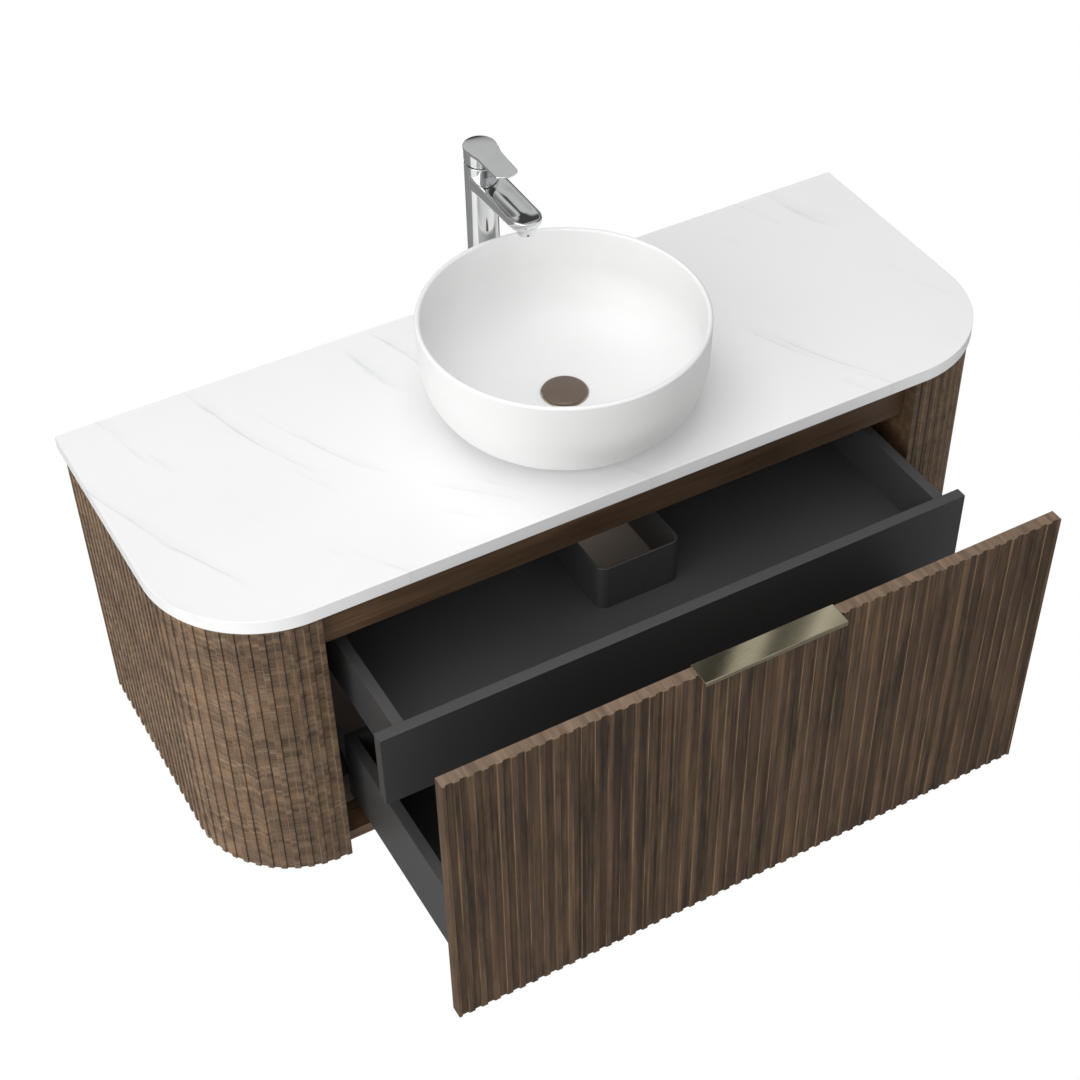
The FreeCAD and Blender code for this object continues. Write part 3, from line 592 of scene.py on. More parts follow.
def prism(name, outline, h0, h1, r, nodes, seg=2, holes=(), axis="z", mat=None, attrs=None, tag=None, u_off=0.0, **kw):
    """Solid between two heights with rounded top and bottom edges.
    axis z: outline is (x, y).  axis x: outline is (y, z).  axis y: outline is (x, z)."""
    outline = [Vector(p) for p in outline]
    tags = list(tag) if tag else None
    if area2(outline) < 0:
        outline.reverse()
        if tags:
            # a side's tag belongs to the edge that starts at the point
            tags.reverse()
            tags = tags[1:] + tags[:1]
    hs = []
    for h in holes:
        h = [Vector(p) for p in h]
        if area2(h) > 0:
            h.reverse()
        hs.append(h)
    rings = []
    for k in range(seg + 1):
        a = math.pi / 2 * k / seg
        rings.append((r * (1 - math.sin(a)), h0 + r * (1 - math.cos(a))))
    for k in range(seg, -1, -1):
        a = math.pi / 2 * k / seg
        rings.append((r * (1 - math.sin(a)), h1 - r * (1 - math.cos(a))))
    if r <= 0:
        rings = [(0, h0), (0, h1)]

    def place(p, h):
        if axis == "z":
            return (p.x, p.y, h)
        if axis == "x":
            return (h, p.x, p.y)
        return (p.x, h, p.y)

    flip = axis == "y"
    verts, faces, uvs, at = [], [], [], {k: [] for k in (attrs or {})}
    capv = []

    def add_face(f, uv, i=None):
        if flip:
            f, uv = f[::-1], uv[::-1]
        faces.append(f)
        uvs.append(uv)
        capv.append(1.0 if i is None else 0.0)
        for k, fn in (attrs or {}).items():
            at[k].append(fn(tags[i]) if (i is not None and tags) else 0.0)

    loops = [outline] + hs
    starts = []
    for li, lp in enumerate(loops):
        n = len(lp)
        dist = [0.0]
        for i in range(n):
            dist.append(dist[-1] + (lp[(i + 1) % n] - lp[i]).length)
        base = len(verts)
        starts.append((base, n))
        for d, h in rings:
            for p in inset(lp, d):
                verts.append(place(p, h))
        for k in range(len(rings) - 1):
            for i in range(n):
                j = (i + 1) % n
                a, b = base + k * n + i, base + k * n + j
                c, d2 = base + (k + 1) * n + j, base + (k + 1) * n + i
                u0, u1 = dist[i] + u_off, dist[i + 1] + u_off
                z0, z1 = rings[k][1], rings[k + 1][1]
                add_face([a, b, c, d2], [(u0, z0), (u1, z0), (u1, z1), (u0, z1)], i if li == 0 else None)
    for top in (False, True):
        k = len(rings) - 1 if top else 0
        polys = [[Vector((*p, 0.0)) for p in inset(lp, rings[k][0])] for lp in loops]
        tris = tessellate_polygon(polys)
        flat = []
        for (base, n) in starts:
            flat += [base + k * n + i for i in range(n)]
        flatp = [p for lp in polys for p in lp]
        for t in tris:
            p = [flatp[i] for i in t]
            ar = (p[1] - p[0]).cross(p[2] - p[0]).z
            t = list(t)
            if abs(ar) < 1e-14:
                continue
            if (ar > 0) != top:
                t.reverse()
            add_face([flat[i] for i in t], [(flatp[i].x, flatp[i].y) for i in t])
    if attrs:
        at["cap"] = capv
    return make_object(name, verts, faces, nodes, mat=mat, uvs=uvs, face_attrs=at if attrs else None, **kw)


def rect(x0, x1, y0, y1, r=0.0008, seg=2):
    return [p for p, _ in fillet([(x0, y0), (x1, y0), (x1, y1), (x0, y1)], r, seg)]


def board(node, r=0.0008, axis="z", mat=None, name=None):
    """A board with softened edges where the CAD board is."""
    lo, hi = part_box(node)
    if axis == "z":
        o, h = rect(lo.x, hi.x, lo.y, hi.y, r), (lo.z, hi.z)
    elif axis == "x":
        o, h = rect(lo.y, hi.y, lo.z, hi.z, r), (lo.x, hi.x)
    else:
        o, h = rect(lo.x, hi.x, lo.z, hi.z, r), (lo.y, hi.y)
    return prism(name or node + "_board", o, h[0], h[1], r, node, axis=axis, mat=mat)


def lathe(name, profile, cx, cy, nodes, seg=96, smooth=40.0, mat=None, **kw):
    """Closed profile of (r, z) turned about the upright line through (cx, cy)."""
    if area2([(r, z) for r, z in profile]) < 0:
        profile = profile[::-1]
    verts, idx = [], []
    for r, z in profile:
        if r < 1e-7:
            idx.append([len(verts)] * seg)
            verts.append((cx, cy, z))
        else:
            base = len(verts)
            idx.append([base + i for i in range(seg)])
            for i in range(seg):
                a = 2 * math.pi * i / seg
                verts.append((cx + r * math.cos(a), cy + r * math.sin(a), z))
    faces, uvs = [], []
    n = len(profile)
    run = 0.0
    for k in range(n):
        k2 = (k + 1) % n
        (r0, z0), (r1, z1) = profile[k], profile[k2]
        step = math.hypot(r1 - r0, z1 - z0)
        if r0 < 1e-7 and r1 < 1e-7:
            run += step
            continue
        for i in range(seg):
            j = (i + 1) % seg
            f = [idx[k][i], idx[k][j], idx[k2][j], idx[k2][i]]
            g = []
            for q in f:
                if q not in g:
                    g.append(q)
            if len(g) < 3:
                continue
            faces.append(g)
            uvs.append([(i / seg, run), ((i + 1) / seg, run), ((i + 1) / seg, run + step), (i / seg, run + step)][:len(g)])
        run += step
    return make_object(name, verts, faces, nodes, mat=mat, uvs=uvs, smooth=smooth, **kw)


def loft(name, sections, nodes, smooth=40.0, mat=None, caps=True, **kw):
    """Closed sections, lists of 3-D points of the same length, joined in order."""
    n = len(sections[0])
    verts = [p for s in sections for p in s]
    faces = []
    for k in range(len(sections) - 1):
        for i in range(n):
            j = (i + 1) % n
            faces.append([k * n + i, k * n + j, (k + 1) * n + j, (k + 1) * n + i])
    if caps:
        faces.append(list(range(n))[::-1])
        last = (len(sections) - 1) * n
        faces.append([last + i for i in range(n)])
    return make_object(name, verts, faces, nodes, mat=mat, smooth=smooth, **kw)


# --------------------------------------------------------------------- cabinet
lo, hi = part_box("countertop")
SLAB_TOP, SLAB_BOT = hi.z, lo.z
SR = 0.155


def slab_outline(n=56):
    pts = [(hi.x, hi.y), (lo.x, hi.y)]
    for i in range(n + 1):
        a = math.pi / 2 * i / n
        pts.append((lo.x + SR - SR * math.cos(a), lo.y + SR - SR * math.sin(a)))
    for i in range(n + 1):
        a = math.pi / 2 * i / n
        pts.append((hi.x - SR + SR * math.sin(a), lo.y + SR - SR * math.cos(a)))
    return pts


def circle(cx, cy, r, n=48):
    return [(cx + r * math.cos(2 * math.pi * i / n), cy + r * math.sin(2 * math.pi * i / n)) for i in range(n)]


slo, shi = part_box("sink_bowl")
SX, SY = (slo.x + shi.x) / 2, (slo.y + shi.y) / 2
flo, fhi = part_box("faucet_base_gasket")
FX, FY = (flo.x + fhi.x) / 2, (flo.y + fhi.y) / 2
prism("slab", slab_outline(), SLAB_BOT, SLAB_TOP, 0.0007, "countertop", seg=3,
      holes=[circle(SX, SY, 0.0225), circle(FX, FY, 0.0175)])

# fluted wrapped sides
FL_D, FL_P = 0.0022, 0.01805
WRAP_T, CAB_R = 0.018, 0.145


def side_panel(node, sign):
    lo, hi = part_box(node)
    out_x = lo.x if sign < 0 else hi.x            # outer face
    in_x = hi.x if sign < 0 else lo.x             # edge at the opening
    back, front = hi.y, lo.y
    L1 = (back - front) - CAB_R
    L2 = math.pi / 2 * CAB_R
    L3 = abs(in_x - out_x) - CAB_R
    LT = L1 + L2 + L3

    def at(s, d):
        if s <= L1:
            x, y = d, -s
        elif s <= L1 + L2:
            a = (s - L1) / CAB_R
            r = CAB_R - d
            x, y = CAB_R - r * math.cos(a), -L1 - r * math.sin(a)
        else:
            x, y = CAB_R + (s - L1 - L2), -L1 - CAB_R + d
        return (out_x - sign * x, back + y)

    n_fl = int(LT / FL_P)
    s0 = LT - n_fl * FL_P
    pts, rad, kind = [], [], []

    def put(s, d, r, k):
        pts.append(at(s, d))
        rad.append(r)
        kind.append(k)

    put(0, 0, 0.0008, "end")
    for i in range(n_fl):
        a = s0 + i * FL_P
        put(a, 0, 0.0005, "edge_b")
        put(a + 0.07 * FL_P, FL_D, 0.0004, "groove")
        put(a + 0.30 * FL_P, FL_D, 0, "groove")
        put(a + 0.53 * FL_P, FL_D, 0.0004, "groove_end")
        put(a + 0.60 * FL_P, 0, 0.0005, "edge_a")
        put(a + 0.80 * FL_P, 0, 0, "land")
    put(LT, 0, 0.0008, "end")
    m = 40
    put(LT, WRAP_T, 0.0004, "inner")
    for i in range(m, -1, -1):
        put(L1 + L2 * i / m, WRAP_T, 0, "inner")
    put(0, WRAP_T, 0.0004, "inner")
    rounded = fillet(pts, rad, 3)
    outline = [p for p, _ in rounded]
    tags = []
    nr = len(rounded)
    # walk the input corners again to name each edge that starts at a point
    names = []
    k = 0
    for i in range(len(pts)):
        c = 0
        while k < nr and (rounded[k][1] == i or (rounded[k][1] == -1 and c == 0)):
            names.append((kind[i], rounded[k][1] == i))
            k += 1
            c += 1
            if names[-1][1] is False:
                break
    for q in range(nr):
        kd, arc = names[q]
        last = q + 1 >= nr or names[q + 1][0] != kd or not arc
        tags.append(("arc_" + kd) if (arc and not last) else ("run_" + kd))

    # painted highlight on the lit flute edges and painted shade on the shadowed walls and groove floors; the right
    # panel faces away from the key light, so its marks sit on other edges
    def ridge_highlight(t):
        return {"arc_edge_a": 0.9}.get(t, 0.0) if sign < 0 else {"arc_edge_b": 1.0, "arc_edge_a": 0.7, "run_edge_b": 0.35}.get(t, 0.0)

    def groove(t):
        return {"run_edge_b": 0.9}.get(t, 0.0) if sign < 0 else {"run_groove_end": 1.0, "run_groove": 0.85}.get(t, 0.0)

    return prism(node + "_fluted", outline, lo.z, hi.z, 0.0004, node, seg=1, mat=SIDE_WOOD if sign < 0 else SIDE_WOOD_RIGHT_SHADED,
                 attrs={"ridge_highlight": ridge_highlight, "groove": groove}, tag=tags)


side_panel("side_panel_left", -1)
side_panel("side_panel_right", 1)

board("front_rail", 0.0008, "x")
# painted light: a lighter walnut copy for the rail, which lies in the shadow of the drawers
board("bottom_front_rail", 0.0008, "x", mat=mat_walnut_plain("walnut_plain_low_lit", 2.2))
board("inner_wall_left", 0.0008, "y")
# painted light: a lighter walnut copy for the right inner wall, which sits in shade beside the drawer
board("inner_wall_right", 0.0008, "y", mat=mat_walnut_plain("walnut_plain_wall_right_lit", 1.75))

# ---------------------------------------------------------------- drawer front
lo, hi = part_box("lower_drawer_front")
NF = 48
PF = (hi.x - lo.x) / NF
pts, rad, kind = [], [], []
for i in range(NF):
    a = lo.x + i * PF
    if i == 0:
        pts.append((a, lo.y)); rad.append(0.0008); kind.append("end")
    pts += [(a + 0.24 * PF, lo.y), (a + 0.31 * PF, lo.y + FL_D), (a + 0.73 * PF, lo.y + FL_D), (a + 0.80 * PF, lo.y)]
    rad += [0.0005, 0.0004, 0.0004, 0.0005]
    kind += ["edge_b", "groove", "groove_end", "edge_a"]
    if i == NF - 1:
        pts.append((a + PF, lo.y)); rad.append(0.0008); kind.append("end")
pts += [(hi.x, hi.y), (lo.x, hi.y)]
rad += [0.0006, 0.0006]
kind += ["inner", "inner"]
rounded = fillet(pts, rad, 3)
names = [(kind[c], True) for _, c in rounded]
tags = []
for q in range(len(rounded)):
    kd = names[q][0]
    last = q + 1 >= len(rounded) or names[q + 1][0] != kd
    tags.append(("run_" if last else "arc_") + kd)
# the ridge attribute paints a highlight on each land's lit edge; the groove attribute paints shade on the shadowed wall
# and groove foot
prism("lower_drawer_front_fluted", [p for p, _ in rounded], lo.z, hi.z, 0.0004, "lower_drawer_front", seg=1,
      attrs={"ridge_highlight": lambda t: {"arc_edge_a": 1.0, "run_groove_end": 0.10, "arc_edge_b": 0.1}.get(t, 0.0),
             "groove": lambda t: {"run_edge_b": 1.0, "arc_groove": 0.9, "arc_groove_end": 1.0, "run_groove": 0.30}.get(t, 0.0)},
      tag=tags)

# ------------------------------------------------------------------- edge pull
lo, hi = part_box("edge_pull")
flo_, fhi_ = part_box("lower_drawer_front")
T = 0.0016
zt = hi.z
sheet_pts = [(hi.y, lo.z), (hi.y, zt), (lo.y, zt), (lo.y, zt - 0.0066), (lo.y + T, zt - 0.0066), (lo.y + T, zt - T),
             (hi.y - T, zt - T), (hi.y - T, lo.z)]
sheet_r = [0.0003, 0.0010, 0.0011, 0.0004, 0.0004, 0.0004, 0.0004, 0.0003]
prism("edge_pull_folded", [p for p, _ in fillet(sheet_pts, sheet_r, 4)], lo.x, hi.x, 0.0003, "edge_pull", seg=2, axis="x")

# ---------------------------------------------------------------- drawer boxes
board("inner_drawer_front", 0.0007, "x")
for side in ("left", "right"):
    board("inner_drawer_side_" + side, 0.0007, "y")
    board("inner_drawer_back_" + side, 0.0006, "x")
    board("lower_drawer_side_" + side, 0.0007, "y")
board("lower_drawer_back", 0.0006, "x")
board("lower_drawer_floor", 0.0004, "z")


def u_points(half, front, back, r, n=14):
    p = [(half, back), (-half, back)]
    for i in range(n + 1):
        a = math.pi / 2 * i / n
        p.append((-half + r - r * math.cos(a), front + r - r * math.sin(a)))
    for i in range(n + 1):
        a = math.pi / 2 * i / n
        p.append((half - r + r * math.sin(a), front + r - r * math.cos(a)))
    return p


lo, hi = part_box("inner_drawer_shroud")
UH, UR, UT = (hi.x - lo.x) / 2, 0.014, 0.003
outer = u_points(UH, lo.y, hi.y, UR)
inner = u_points(UH - UT, lo.y + UT, hi.y, UR - UT)
# one closed band: outer run from the right back round to the left back, then the inner run home
band = [outer[1]] + outer[2:] + [outer[0]] + [inner[0]] + inner[2:][::-1] + [inner[1]]
prism("shroud_moulded", band, lo.z, hi.z, 0.0010, "inner_drawer_shroud", seg=3)
fl_lo, fl_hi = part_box("inner_drawer_floor")
notch = u_points(UH, lo.y, fl_hi.y, UR)
edge = [(fl_lo.x, fl_hi.y), (fl_lo.x, fl_lo.y), (fl_hi.x, fl_lo.y), (fl_hi.x, fl_hi.y), notch[0]] + notch[2:][::-1] + [notch[1]]
prism("inner_floor_board", edge, fl_lo.z, fl_hi.z, 0.0003, "inner_drawer_floor", seg=1)

# -------------------------------------------------------------------- basin
R = (shi.x - slo.x) / 2
Z0 = slo.z
H = shi.z - slo.z
prof = [(0.118, 0.0)]
for i in range(1, 41):
    t = math.pi / 2 * i / 40
    prof.append((0.118 + (R - 0.0010 - 0.118) * math.sin(t), 0.090 * (1 - math.cos(t))))
for i in range(1, 6):
    prof.append((R - 0.0010 + 0.0010 * i / 6, 0.090 + (H - 0.0035 - 0.090) * i / 6))
rc, rr = R - 0.0035, 0.0035
for i in range(13):
    t = math.pi * i / 12
    prof.append((rc + rr * math.cos(t), H - rr + rr * math.sin(t)))
ir = R - 0.0070
for i in range(1, 5):
    prof.append((ir - 0.0010 * i / 4, H - 0.0035 + (0.088 - H + 0.0035) * i / 4))
for i in range(1, 49):
    t = math.pi / 2 * i / 48
    prof.append((0.060 + (ir - 0.0010 - 0.060) * math.cos(t), 0.088 + (0.0146 - 0.088) * math.sin(t)))
prof += [(0.045, 0.0138), (0.0330, 0.0132), (0.0319, 0.0129), (0.0312, 0.0122), (0.0310, 0.0106), (0.0225, 0.0106), (0.0225, 0.0040),
         (0.060, 0.0030), (0.104, 0.0030), (0.107, 0.0024), (0.108, 0.0)]
lathe("basin", [(r, Z0 + z) for r, z in prof], SX, SY, "sink_bowl", seg=192, smooth=50)

lo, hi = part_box("drain_cap")
CR = (hi.x - lo.x) / 2
zt = hi.z
cap = [(0.0, zt)]
for i in range(1, 15):
    t = i / 14
    cap.append((CR * 0.93 * t, zt - 0.0022 * t ** 2.2))
cap += [(CR - 0.0010, zt - 0.0030), (CR - 0.0002, zt - 0.0038), (CR, zt - 0.0044), (CR - 0.0005, zt - 0.0050), (CR - 0.0030, zt - 0.0054),
        (0.0032, zt - 0.0054), (0.0032, lo.z + 0.0006), (0.0026, lo.z), (0.0, lo.z)]
lathe("waste_cap", cap, SX, SY, "drain_cap", seg=96, smooth=45)

# -------------------------------------------------------------------- mixer
blo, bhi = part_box("faucet_body")
CR_ = 0.0215
ctop = bhi.z
cbot = blo.z
z_sp = SLAB_TOP + 0.228          # spout top face
tip = blo.y
col = [(0.0, cbot), (CR_ - 0.0006, cbot), (CR_, cbot + 0.0008), (CR_, ctop - 0.0012), (CR_ - 0.0004, ctop - 0.0004), (CR_ - 0.0012, ctop),
       (0.0186, ctop), (0.0180, ctop - 0.0010), (0.0, ctop - 0.0010)]
lathe("mixer_column", col, FX, FY, "faucet_body", seg=128, smooth=40)


def spout_sections():
    """Sections across the spout from inside the column to the rounded tip."""
    secs = []
    n = 40
    y0 = FY + 0.004
    ys = [y0 + (tip + 0.026 - y0) * i / 16 for i in range(17)]
    L = 0.0255
    for i in range(1, 27):
        t = i / 26.0
        ys.append(tip + 0.026 - L * math.sin(t * math.pi / 2) ** 0.9)
    for y in ys:
        k = max(0.0, (tip + 0.026 - y) / 0.026)
        w = CR_ * max(0.0, (1 - k ** 2.6)) ** (1 / 2.4)
        w = max(w, 0.0004)
        run = (y0 - y) / (y0 - tip)
        depth = 0.033 - 0.014 * run
        if k > 0:
            depth *= max(0.10, (1 - k ** 3.0) ** 0.5)
        top_drop = 0.0
        sec = []
        e = min(0.0022, w * 0.5)                 # rim bevel
        dish = 0.0016 * min(1.0, run * 2.2) * (1.0 if k <= 0 else max(0.0, 1 - k * 1.3))
        # top from right to left: shallow dish between two raised rims
        m = 14
        for i in range(m + 1):
            u = 1 - 2 * i / m
            x = (w - e) * u
            sec.append((x, z_sp - top_drop - dish * (1 - u * u) ** 1.5))
        # left side and underside
        sec.append((-w + e * 0.3, z_sp - 0.0009))
        for i in range(0, 13):
            a = math.pi * i / 12
            x = -w * math.cos(a)
            z = z_sp - 0.0032 - (depth - 0.0032) * math.sin(a) ** 0.72
            sec.append((x, z))
        sec.append((w - e * 0.3, z_sp - 0.0009))
        secs.append([(FX + x, y, z) for x, z in sec])
    return secs


loft("mixer_spout", spout_sections(), "faucet_body", smooth=38, body="cabinet")

# outlet nose under the tip
AY = tip + 0.018
nose = [(0.0, SLAB_TOP + 0.216), (0.0145, SLAB_TOP + 0.216), (0.0136, SLAB_TOP + 0.210), (0.0124, SLAB_TOP + 0.2055), (0.0116, SLAB_TOP + 0.2043),
        (0.0108, SLAB_TOP + 0.2040), (0.0096, SLAB_TOP + 0.2046), (0.0096, SLAB_TOP + 0.2130), (0.0, SLAB_TOP + 0.2130)]
lathe("mixer_outlet", nose, FX, AY, "faucet_body", seg=64, smooth=40)

# lever
llo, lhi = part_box("faucet_lever")
ltop = lhi.z


def lever_outline(nr=44):
    r, ht = 0.022, 0.0168
    pts = []
    for i in range(nr + 1):
        a = math.radians(-20.0 + 220.0 * i / nr)
        pts.append((FX + r * math.cos(a), FY + r * math.sin(a)))
    xl, yl = pts[-1]
    for k in range(1, 15):
        t = k / 14.0
        pts.append((xl + (FX - ht - xl) * (3 * t * t - 2 * t ** 3), yl - 0.022 * t))
    ty = llo.y + 0.010
    x_t = ht - 0.0006
    pts.append((FX - x_t, ty))
    for i in range(1, 24):
        u = -1 + 2 * i / 24.0
        pts.append((FX + x_t * u, ty - 0.010 * (1 - u * u) ** 0.55))
    pts.append((FX + x_t, ty))
    xr, yr = pts[0]
    for k in range(14, 0, -1):
        t = k / 14.0
        pts.append((xr + (FX + ht - xr) * (3 * t * t - 2 * t ** 3), yr - 0.022 * t))
    return pts


lev = lever_outline()
paddle = prism("lever_paddle", lev, SLAB_TOP + 0.2605, ltop, 0.0009, "faucet_lever", seg=3, smooth=35)
back_y = FY + 0.022
for v in paddle.data.vertices:
    k = (v.co.z - (SLAB_TOP + 0.2605)) / (ltop - SLAB_TOP - 0.2605)
    v.co.z -= 0.0026 * k * (back_y - v.co.y) / (back_y - llo.y)
paddle.data.update()
def lever_hub(seg=96):
    """Turned hub whose lower rim slopes up towards the back."""
    z_rim = lambda y: SLAB_TOP + 0.2418 + (y - (FY - 0.022)) * (0.0074 / 0.044)
    top = SLAB_TOP + 0.2608
    prof = [("rim", 0.0173, 0.0), ("rim", 0.0210, 0.0), ("rim", 0.0214, 0.0003), ("rim", 0.0215, 0.0009), ("top", 0.0215, 0.0),
            ("top", 0.0, 0.0), ("top", 0.0, -0.0012), ("top", 0.0060, -0.0018), ("top", 0.0100, -0.0036), ("dome", 0.0138, 0.0102), ("dome", 0.0160, 0.0062)]
    verts, faces = [], []
    n = len(prof)
    for i in range(seg):
        a = 2 * math.pi * i / seg
        for kind, r, d in prof:
            x, y = FX + r * math.cos(a), FY + r * math.sin(a)
            if kind == "rim":
                z = z_rim(y) + d
            elif kind == "top":
                z = top + d
            else:
                z = max(SLAB_TOP + 0.243 + d, z_rim(y) + 0.0006)
            verts.append((x, y, z))
    for i in range(seg):
        j = (i + 1) % seg
        for k in range(n):
            k2 = (k + 1) % n
            f = [i * n + k, j * n + k, j * n + k2, i * n + k2]
            if prof[k][1] == 0.0 and prof[k2][1] == 0.0:
                continue
            if prof[k][1] == 0.0:
                f = [k, j * n + k2, i * n + k2]
            elif prof[k2][1] == 0.0:
                f = [i * n + k, j * n + k, k2]
            faces.append(f)
    return make_object("lever_hub", verts, faces, "faucet_lever", smooth=40)


lever_hub()

# ------------------------------------------------------- remaining CAD nodes
hidden = {n for o in bpy.data.objects if "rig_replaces" in o for n in o["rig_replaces"]}
for n, o in NODES.items():
    if n in hidden:
        continue
    o.data.materials.clear()
    # the bottom panel gets the lighter copy, painted light for its shaded place
    o.data.materials.append(FLOOR_BOARD_LIT if n == "bottom_panel" else MATS[SLOT[n]])

# ----------------------------------------------------------------- stage, light
floor_me = bpy.data.meshes.new("floor")
zf = cad_box[0].z - 0.38
seg = 96
fv = [(0, 0, zf)] + [(30 * math.cos(2 * math.pi * i / seg), 30 * math.sin(2 * math.pi * i / seg), zf) for i in range(seg)]
floor_me.from_pydata(fv, [], [(0, 1 + i, 1 + (i + 1) % seg) for i in range(seg)])
floor = bpy.data.objects.new("floor", floor_me)
COL.objects.link(floor)
fm = Mat("floor_pale")
fn = fm.noise(fm.obj(), 1.2, 3, 0.5)
fm.color(fm.mix(fm.span(fn, 0.3, 0.7, 0.0, 1.0), (0.90, 0.90, 0.90), (0.92, 0.92, 0.92)))
fm.set(Roughness=0.9)
lp = fm.node("ShaderNodeLightPath")
dim = fm.node("ShaderNodeBsdfDiffuse")
dim.inputs["Color"].default_value = (0.34, 0.34, 0.34, 1)
glow = fm.node("ShaderNodeEmission")
glow.inputs["Color"].default_value = (1, 1, 1, 1)
glow.inputs["Strength"].default_value = 1.0
mx1 = fm.node("ShaderNodeMixShader")
mx2 = fm.node("ShaderNodeMixShader")
fm.link(lp.outputs["Is Glossy Ray"], mx1.inputs[0])
fm.link(fm.p.outputs[0], mx1.inputs[1])
fm.link(dim.outputs[0], mx1.inputs[2])
fm.link(lp.outputs["Is Camera Ray"], mx2.inputs[0])
fm.link(mx1.outputs[0], mx2.inputs[1])
fm.link(glow.outputs[0], mx2.inputs[2])
fm.link(mx2.outputs[0], fm.out.inputs[0])
fm.m.cycles.emission_sampling = "NONE"
floor_me.materials.append(fm.m)


def area(name, loc, target, size, power, color=(1, 1, 1), size_y=None):
    L = bpy.data.lights.new(name, "AREA")
    L.energy = power
    L.color = color
    L.size = size
    if size_y:
        L.shape = "RECTANGLE"
        L.size_y = size_y
    o = bpy.data.objects.new(name, L)
    o.location = loc
    o.rotation_mode = "QUATERNION"
    o.rotation_quaternion = (Vector(target) - Vector(loc)).to_track_quat("-Z", "Y")
    COL.objects.link(o)
    return o


area("key_left", (-4.8, -2.5, 2.5), (0, -0.3, 0.0), 5.5, 146, (1.0, 0.995, 0.985))
area("top", (-0.6, 0.1, 4.2), (0, -0.3, 0.1), 3.4, 70, (1.0, 1.0, 1.0))
area("front_fill", (-0.4, -4.4, 0.3), (0, -0.3, 0.1), 4.5, 47, (1.0, 1.0, 1.0))

world = bpy.data.worlds.new("studio")
bpy.context.scene.world = world
world.use_nodes = True
wt = world.node_tree
wt.nodes.clear()
wo = wt.nodes.new("ShaderNodeOutputWorld")
bg = wt.nodes.new("ShaderNodeBackground")
tc = wt.nodes.new("ShaderNodeTexCoord")
sp = wt.nodes.new("ShaderNodeSeparateXYZ")
wt.links.new(tc.outputs["Generated"], sp.inputs[0])


def wmath(op, a, b=None):
    n = wt.nodes.new("ShaderNodeMath")
    n.operation = op
    for i, v in enumerate((a, b)):
        if v is None:
            continue
        if isinstance(v, (int, float)):
            n.inputs[i].default_value = v
        else:
            wt.links.new(v, n.inputs[i])
    return n.outputs[0]


def wramp(fac, stops):
    n = wt.nodes.new("ShaderNodeValToRGB")
    els = n.color_ramp.elements
    while len(els) < len(stops):
        els.new(0.5)
    for e, (p, v) in zip(els, stops):
        e.position = p
        e.color = (v, v, v, 1)
    wt.links.new(fac, n.inputs[0])
    return n.outputs[0]


# a dark studio wall with upright strip lights, under a pale ceiling.
# azimuth 0..1 from -X round through -Y, +X and +Y
az = wmath("ADD", wmath("DIVIDE", wmath("ARCTAN2", sp.outputs[1], sp.outputs[0]), 2 * math.pi), 0.5)
hor = wramp(az, [(0.0, 0.75), (0.05, 0.95), (0.09, 0.12), (0.14, 0.85), (0.20, 0.35), (0.27, 0.10), (0.34, 0.55), (0.40, 0.08),
                 (0.52, 0.05), (0.585, 0.05), (0.593, 0.55), (0.601, 0.05), (0.622, 0.05), (0.628, 0.75), (0.636, 0.05), (0.654, 0.05),
                 (0.662, 0.85), (0.668, 0.06), (0.684, 0.06), (0.692, 0.70), (0.700, 0.06), (0.718, 0.06), (0.726, 0.60), (0.734, 0.08),
                 (0.80, 0.45), (0.90, 0.15), (1.0, 0.75)])
up = wramp(sp.outputs[2], [(0.0, 0.0), (0.556, 0.0), (0.572, 1.0), (1.0, 1.0)])
strip = wramp(sp.outputs[2], [(0.0, 0.0), (0.62, 0.0), (0.66, 1.0), (0.80, 1.0), (0.86, 0.0)])
deg = wmath("MULTIPLY", wmath("ARCTAN2", sp.outputs[0], sp.outputs[1]), 180 / math.pi)
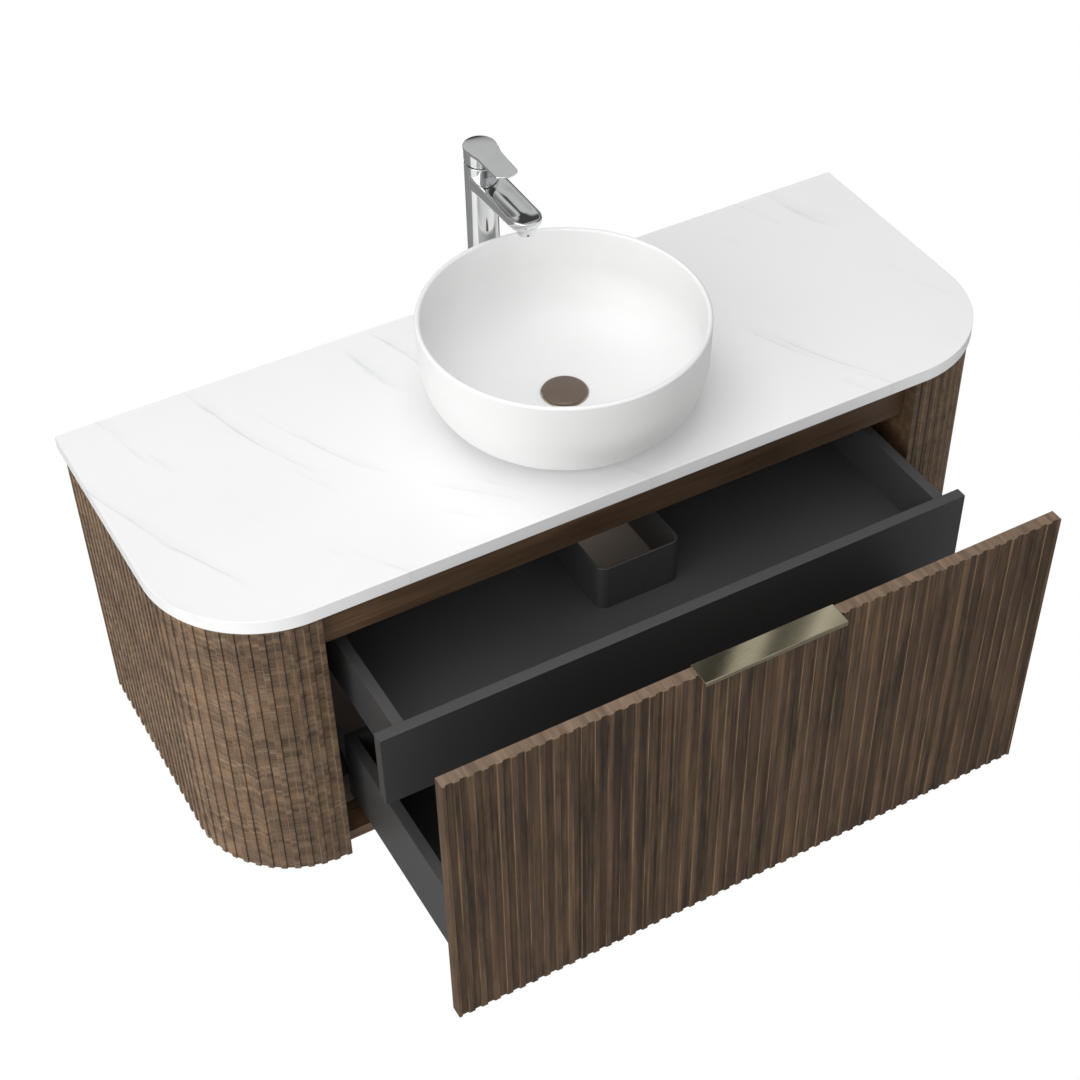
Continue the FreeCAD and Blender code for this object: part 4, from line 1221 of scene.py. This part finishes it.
lamps = wramp(wmath("DIVIDE", wmath("SUBTRACT", deg, 33.0), 10.0),
              [(0.0, 0.34), (0.12, 0.18), (0.20, 0.10), (0.27, 0.10), (0.33, 0.74), (0.41, 0.78), (0.46, 0.20), (0.52, 0.21), (0.59, 0.38), (0.65, 0.98),
               (0.69, 0.80), (0.75, 0.60), (0.86, 0.35), (1.0, 0.55)])


def wmix(fac, a, b):
    n = wt.nodes.new("ShaderNodeMix")
    n.data_type = "RGBA"
    wt.links.new(fac, n.inputs[0])
    for i, v in ((6, a), (7, b)):
        if isinstance(v, float):
            n.inputs[i].default_value = (v, v, v, 1)
        else:
            wt.links.new(v, n.inputs[i])
    return n.outputs[2]


sky = wmix(up, hor, 0.58)
sky = wmix(strip, sky, lamps)
seen = wt.nodes.new("ShaderNodeLightPath")
sky = wmix(seen.outputs["Is Camera Ray"], sky, 1.0)
wt.links.new(sky, bg.inputs[0])
bg.inputs[1].default_value = 1.0
wt.links.new(bg.outputs[0], wo.inputs[0])

sc = bpy.context.scene
sc.view_settings.view_transform = "Standard"

# ----------------------------------------------------------------------- camera
CX, CY, CZ = -1.01109, -2.06359, 1.69736 + SLAB_TOP
AZ, EL, ROLL = 0.51970, 0.79100, -0.00410
F, PX, PY = 2044.22, 578.17, 610.74
fw = Vector((math.sin(AZ) * math.cos(EL), math.cos(AZ) * math.cos(EL), -math.sin(EL)))
rt_ = fw.cross(Vector((0, 0, 1))).normalized()
up_ = rt_.cross(fw)
c, s = math.cos(ROLL), math.sin(ROLL)
r2, u2 = c * rt_ + s * up_, -s * rt_ + c * up_
camd = bpy.data.cameras.new("camera")
camo = bpy.data.objects.new("camera", camd)
COL.objects.link(camo)
camo.matrix_world = Matrix(((r2.x, u2.x, -fw.x, CX), (r2.y, u2.y, -fw.y, CY), (r2.z, u2.z, -fw.z, CZ), (0, 0, 0, 1)))
camd.sensor_fit = "AUTO"
camd.sensor_width = 36.0
camd.lens = F * 36.0 / 1080.0
camd.shift_x = (540.0 - PX) / 1080.0
camd.shift_y = (PY - 540.0) / 1080.0
camd.clip_start, camd.clip_end = 0.05, 100.0
camd.dof.use_dof = False
sc.camera = camo

bpy.context.view_layer.update()
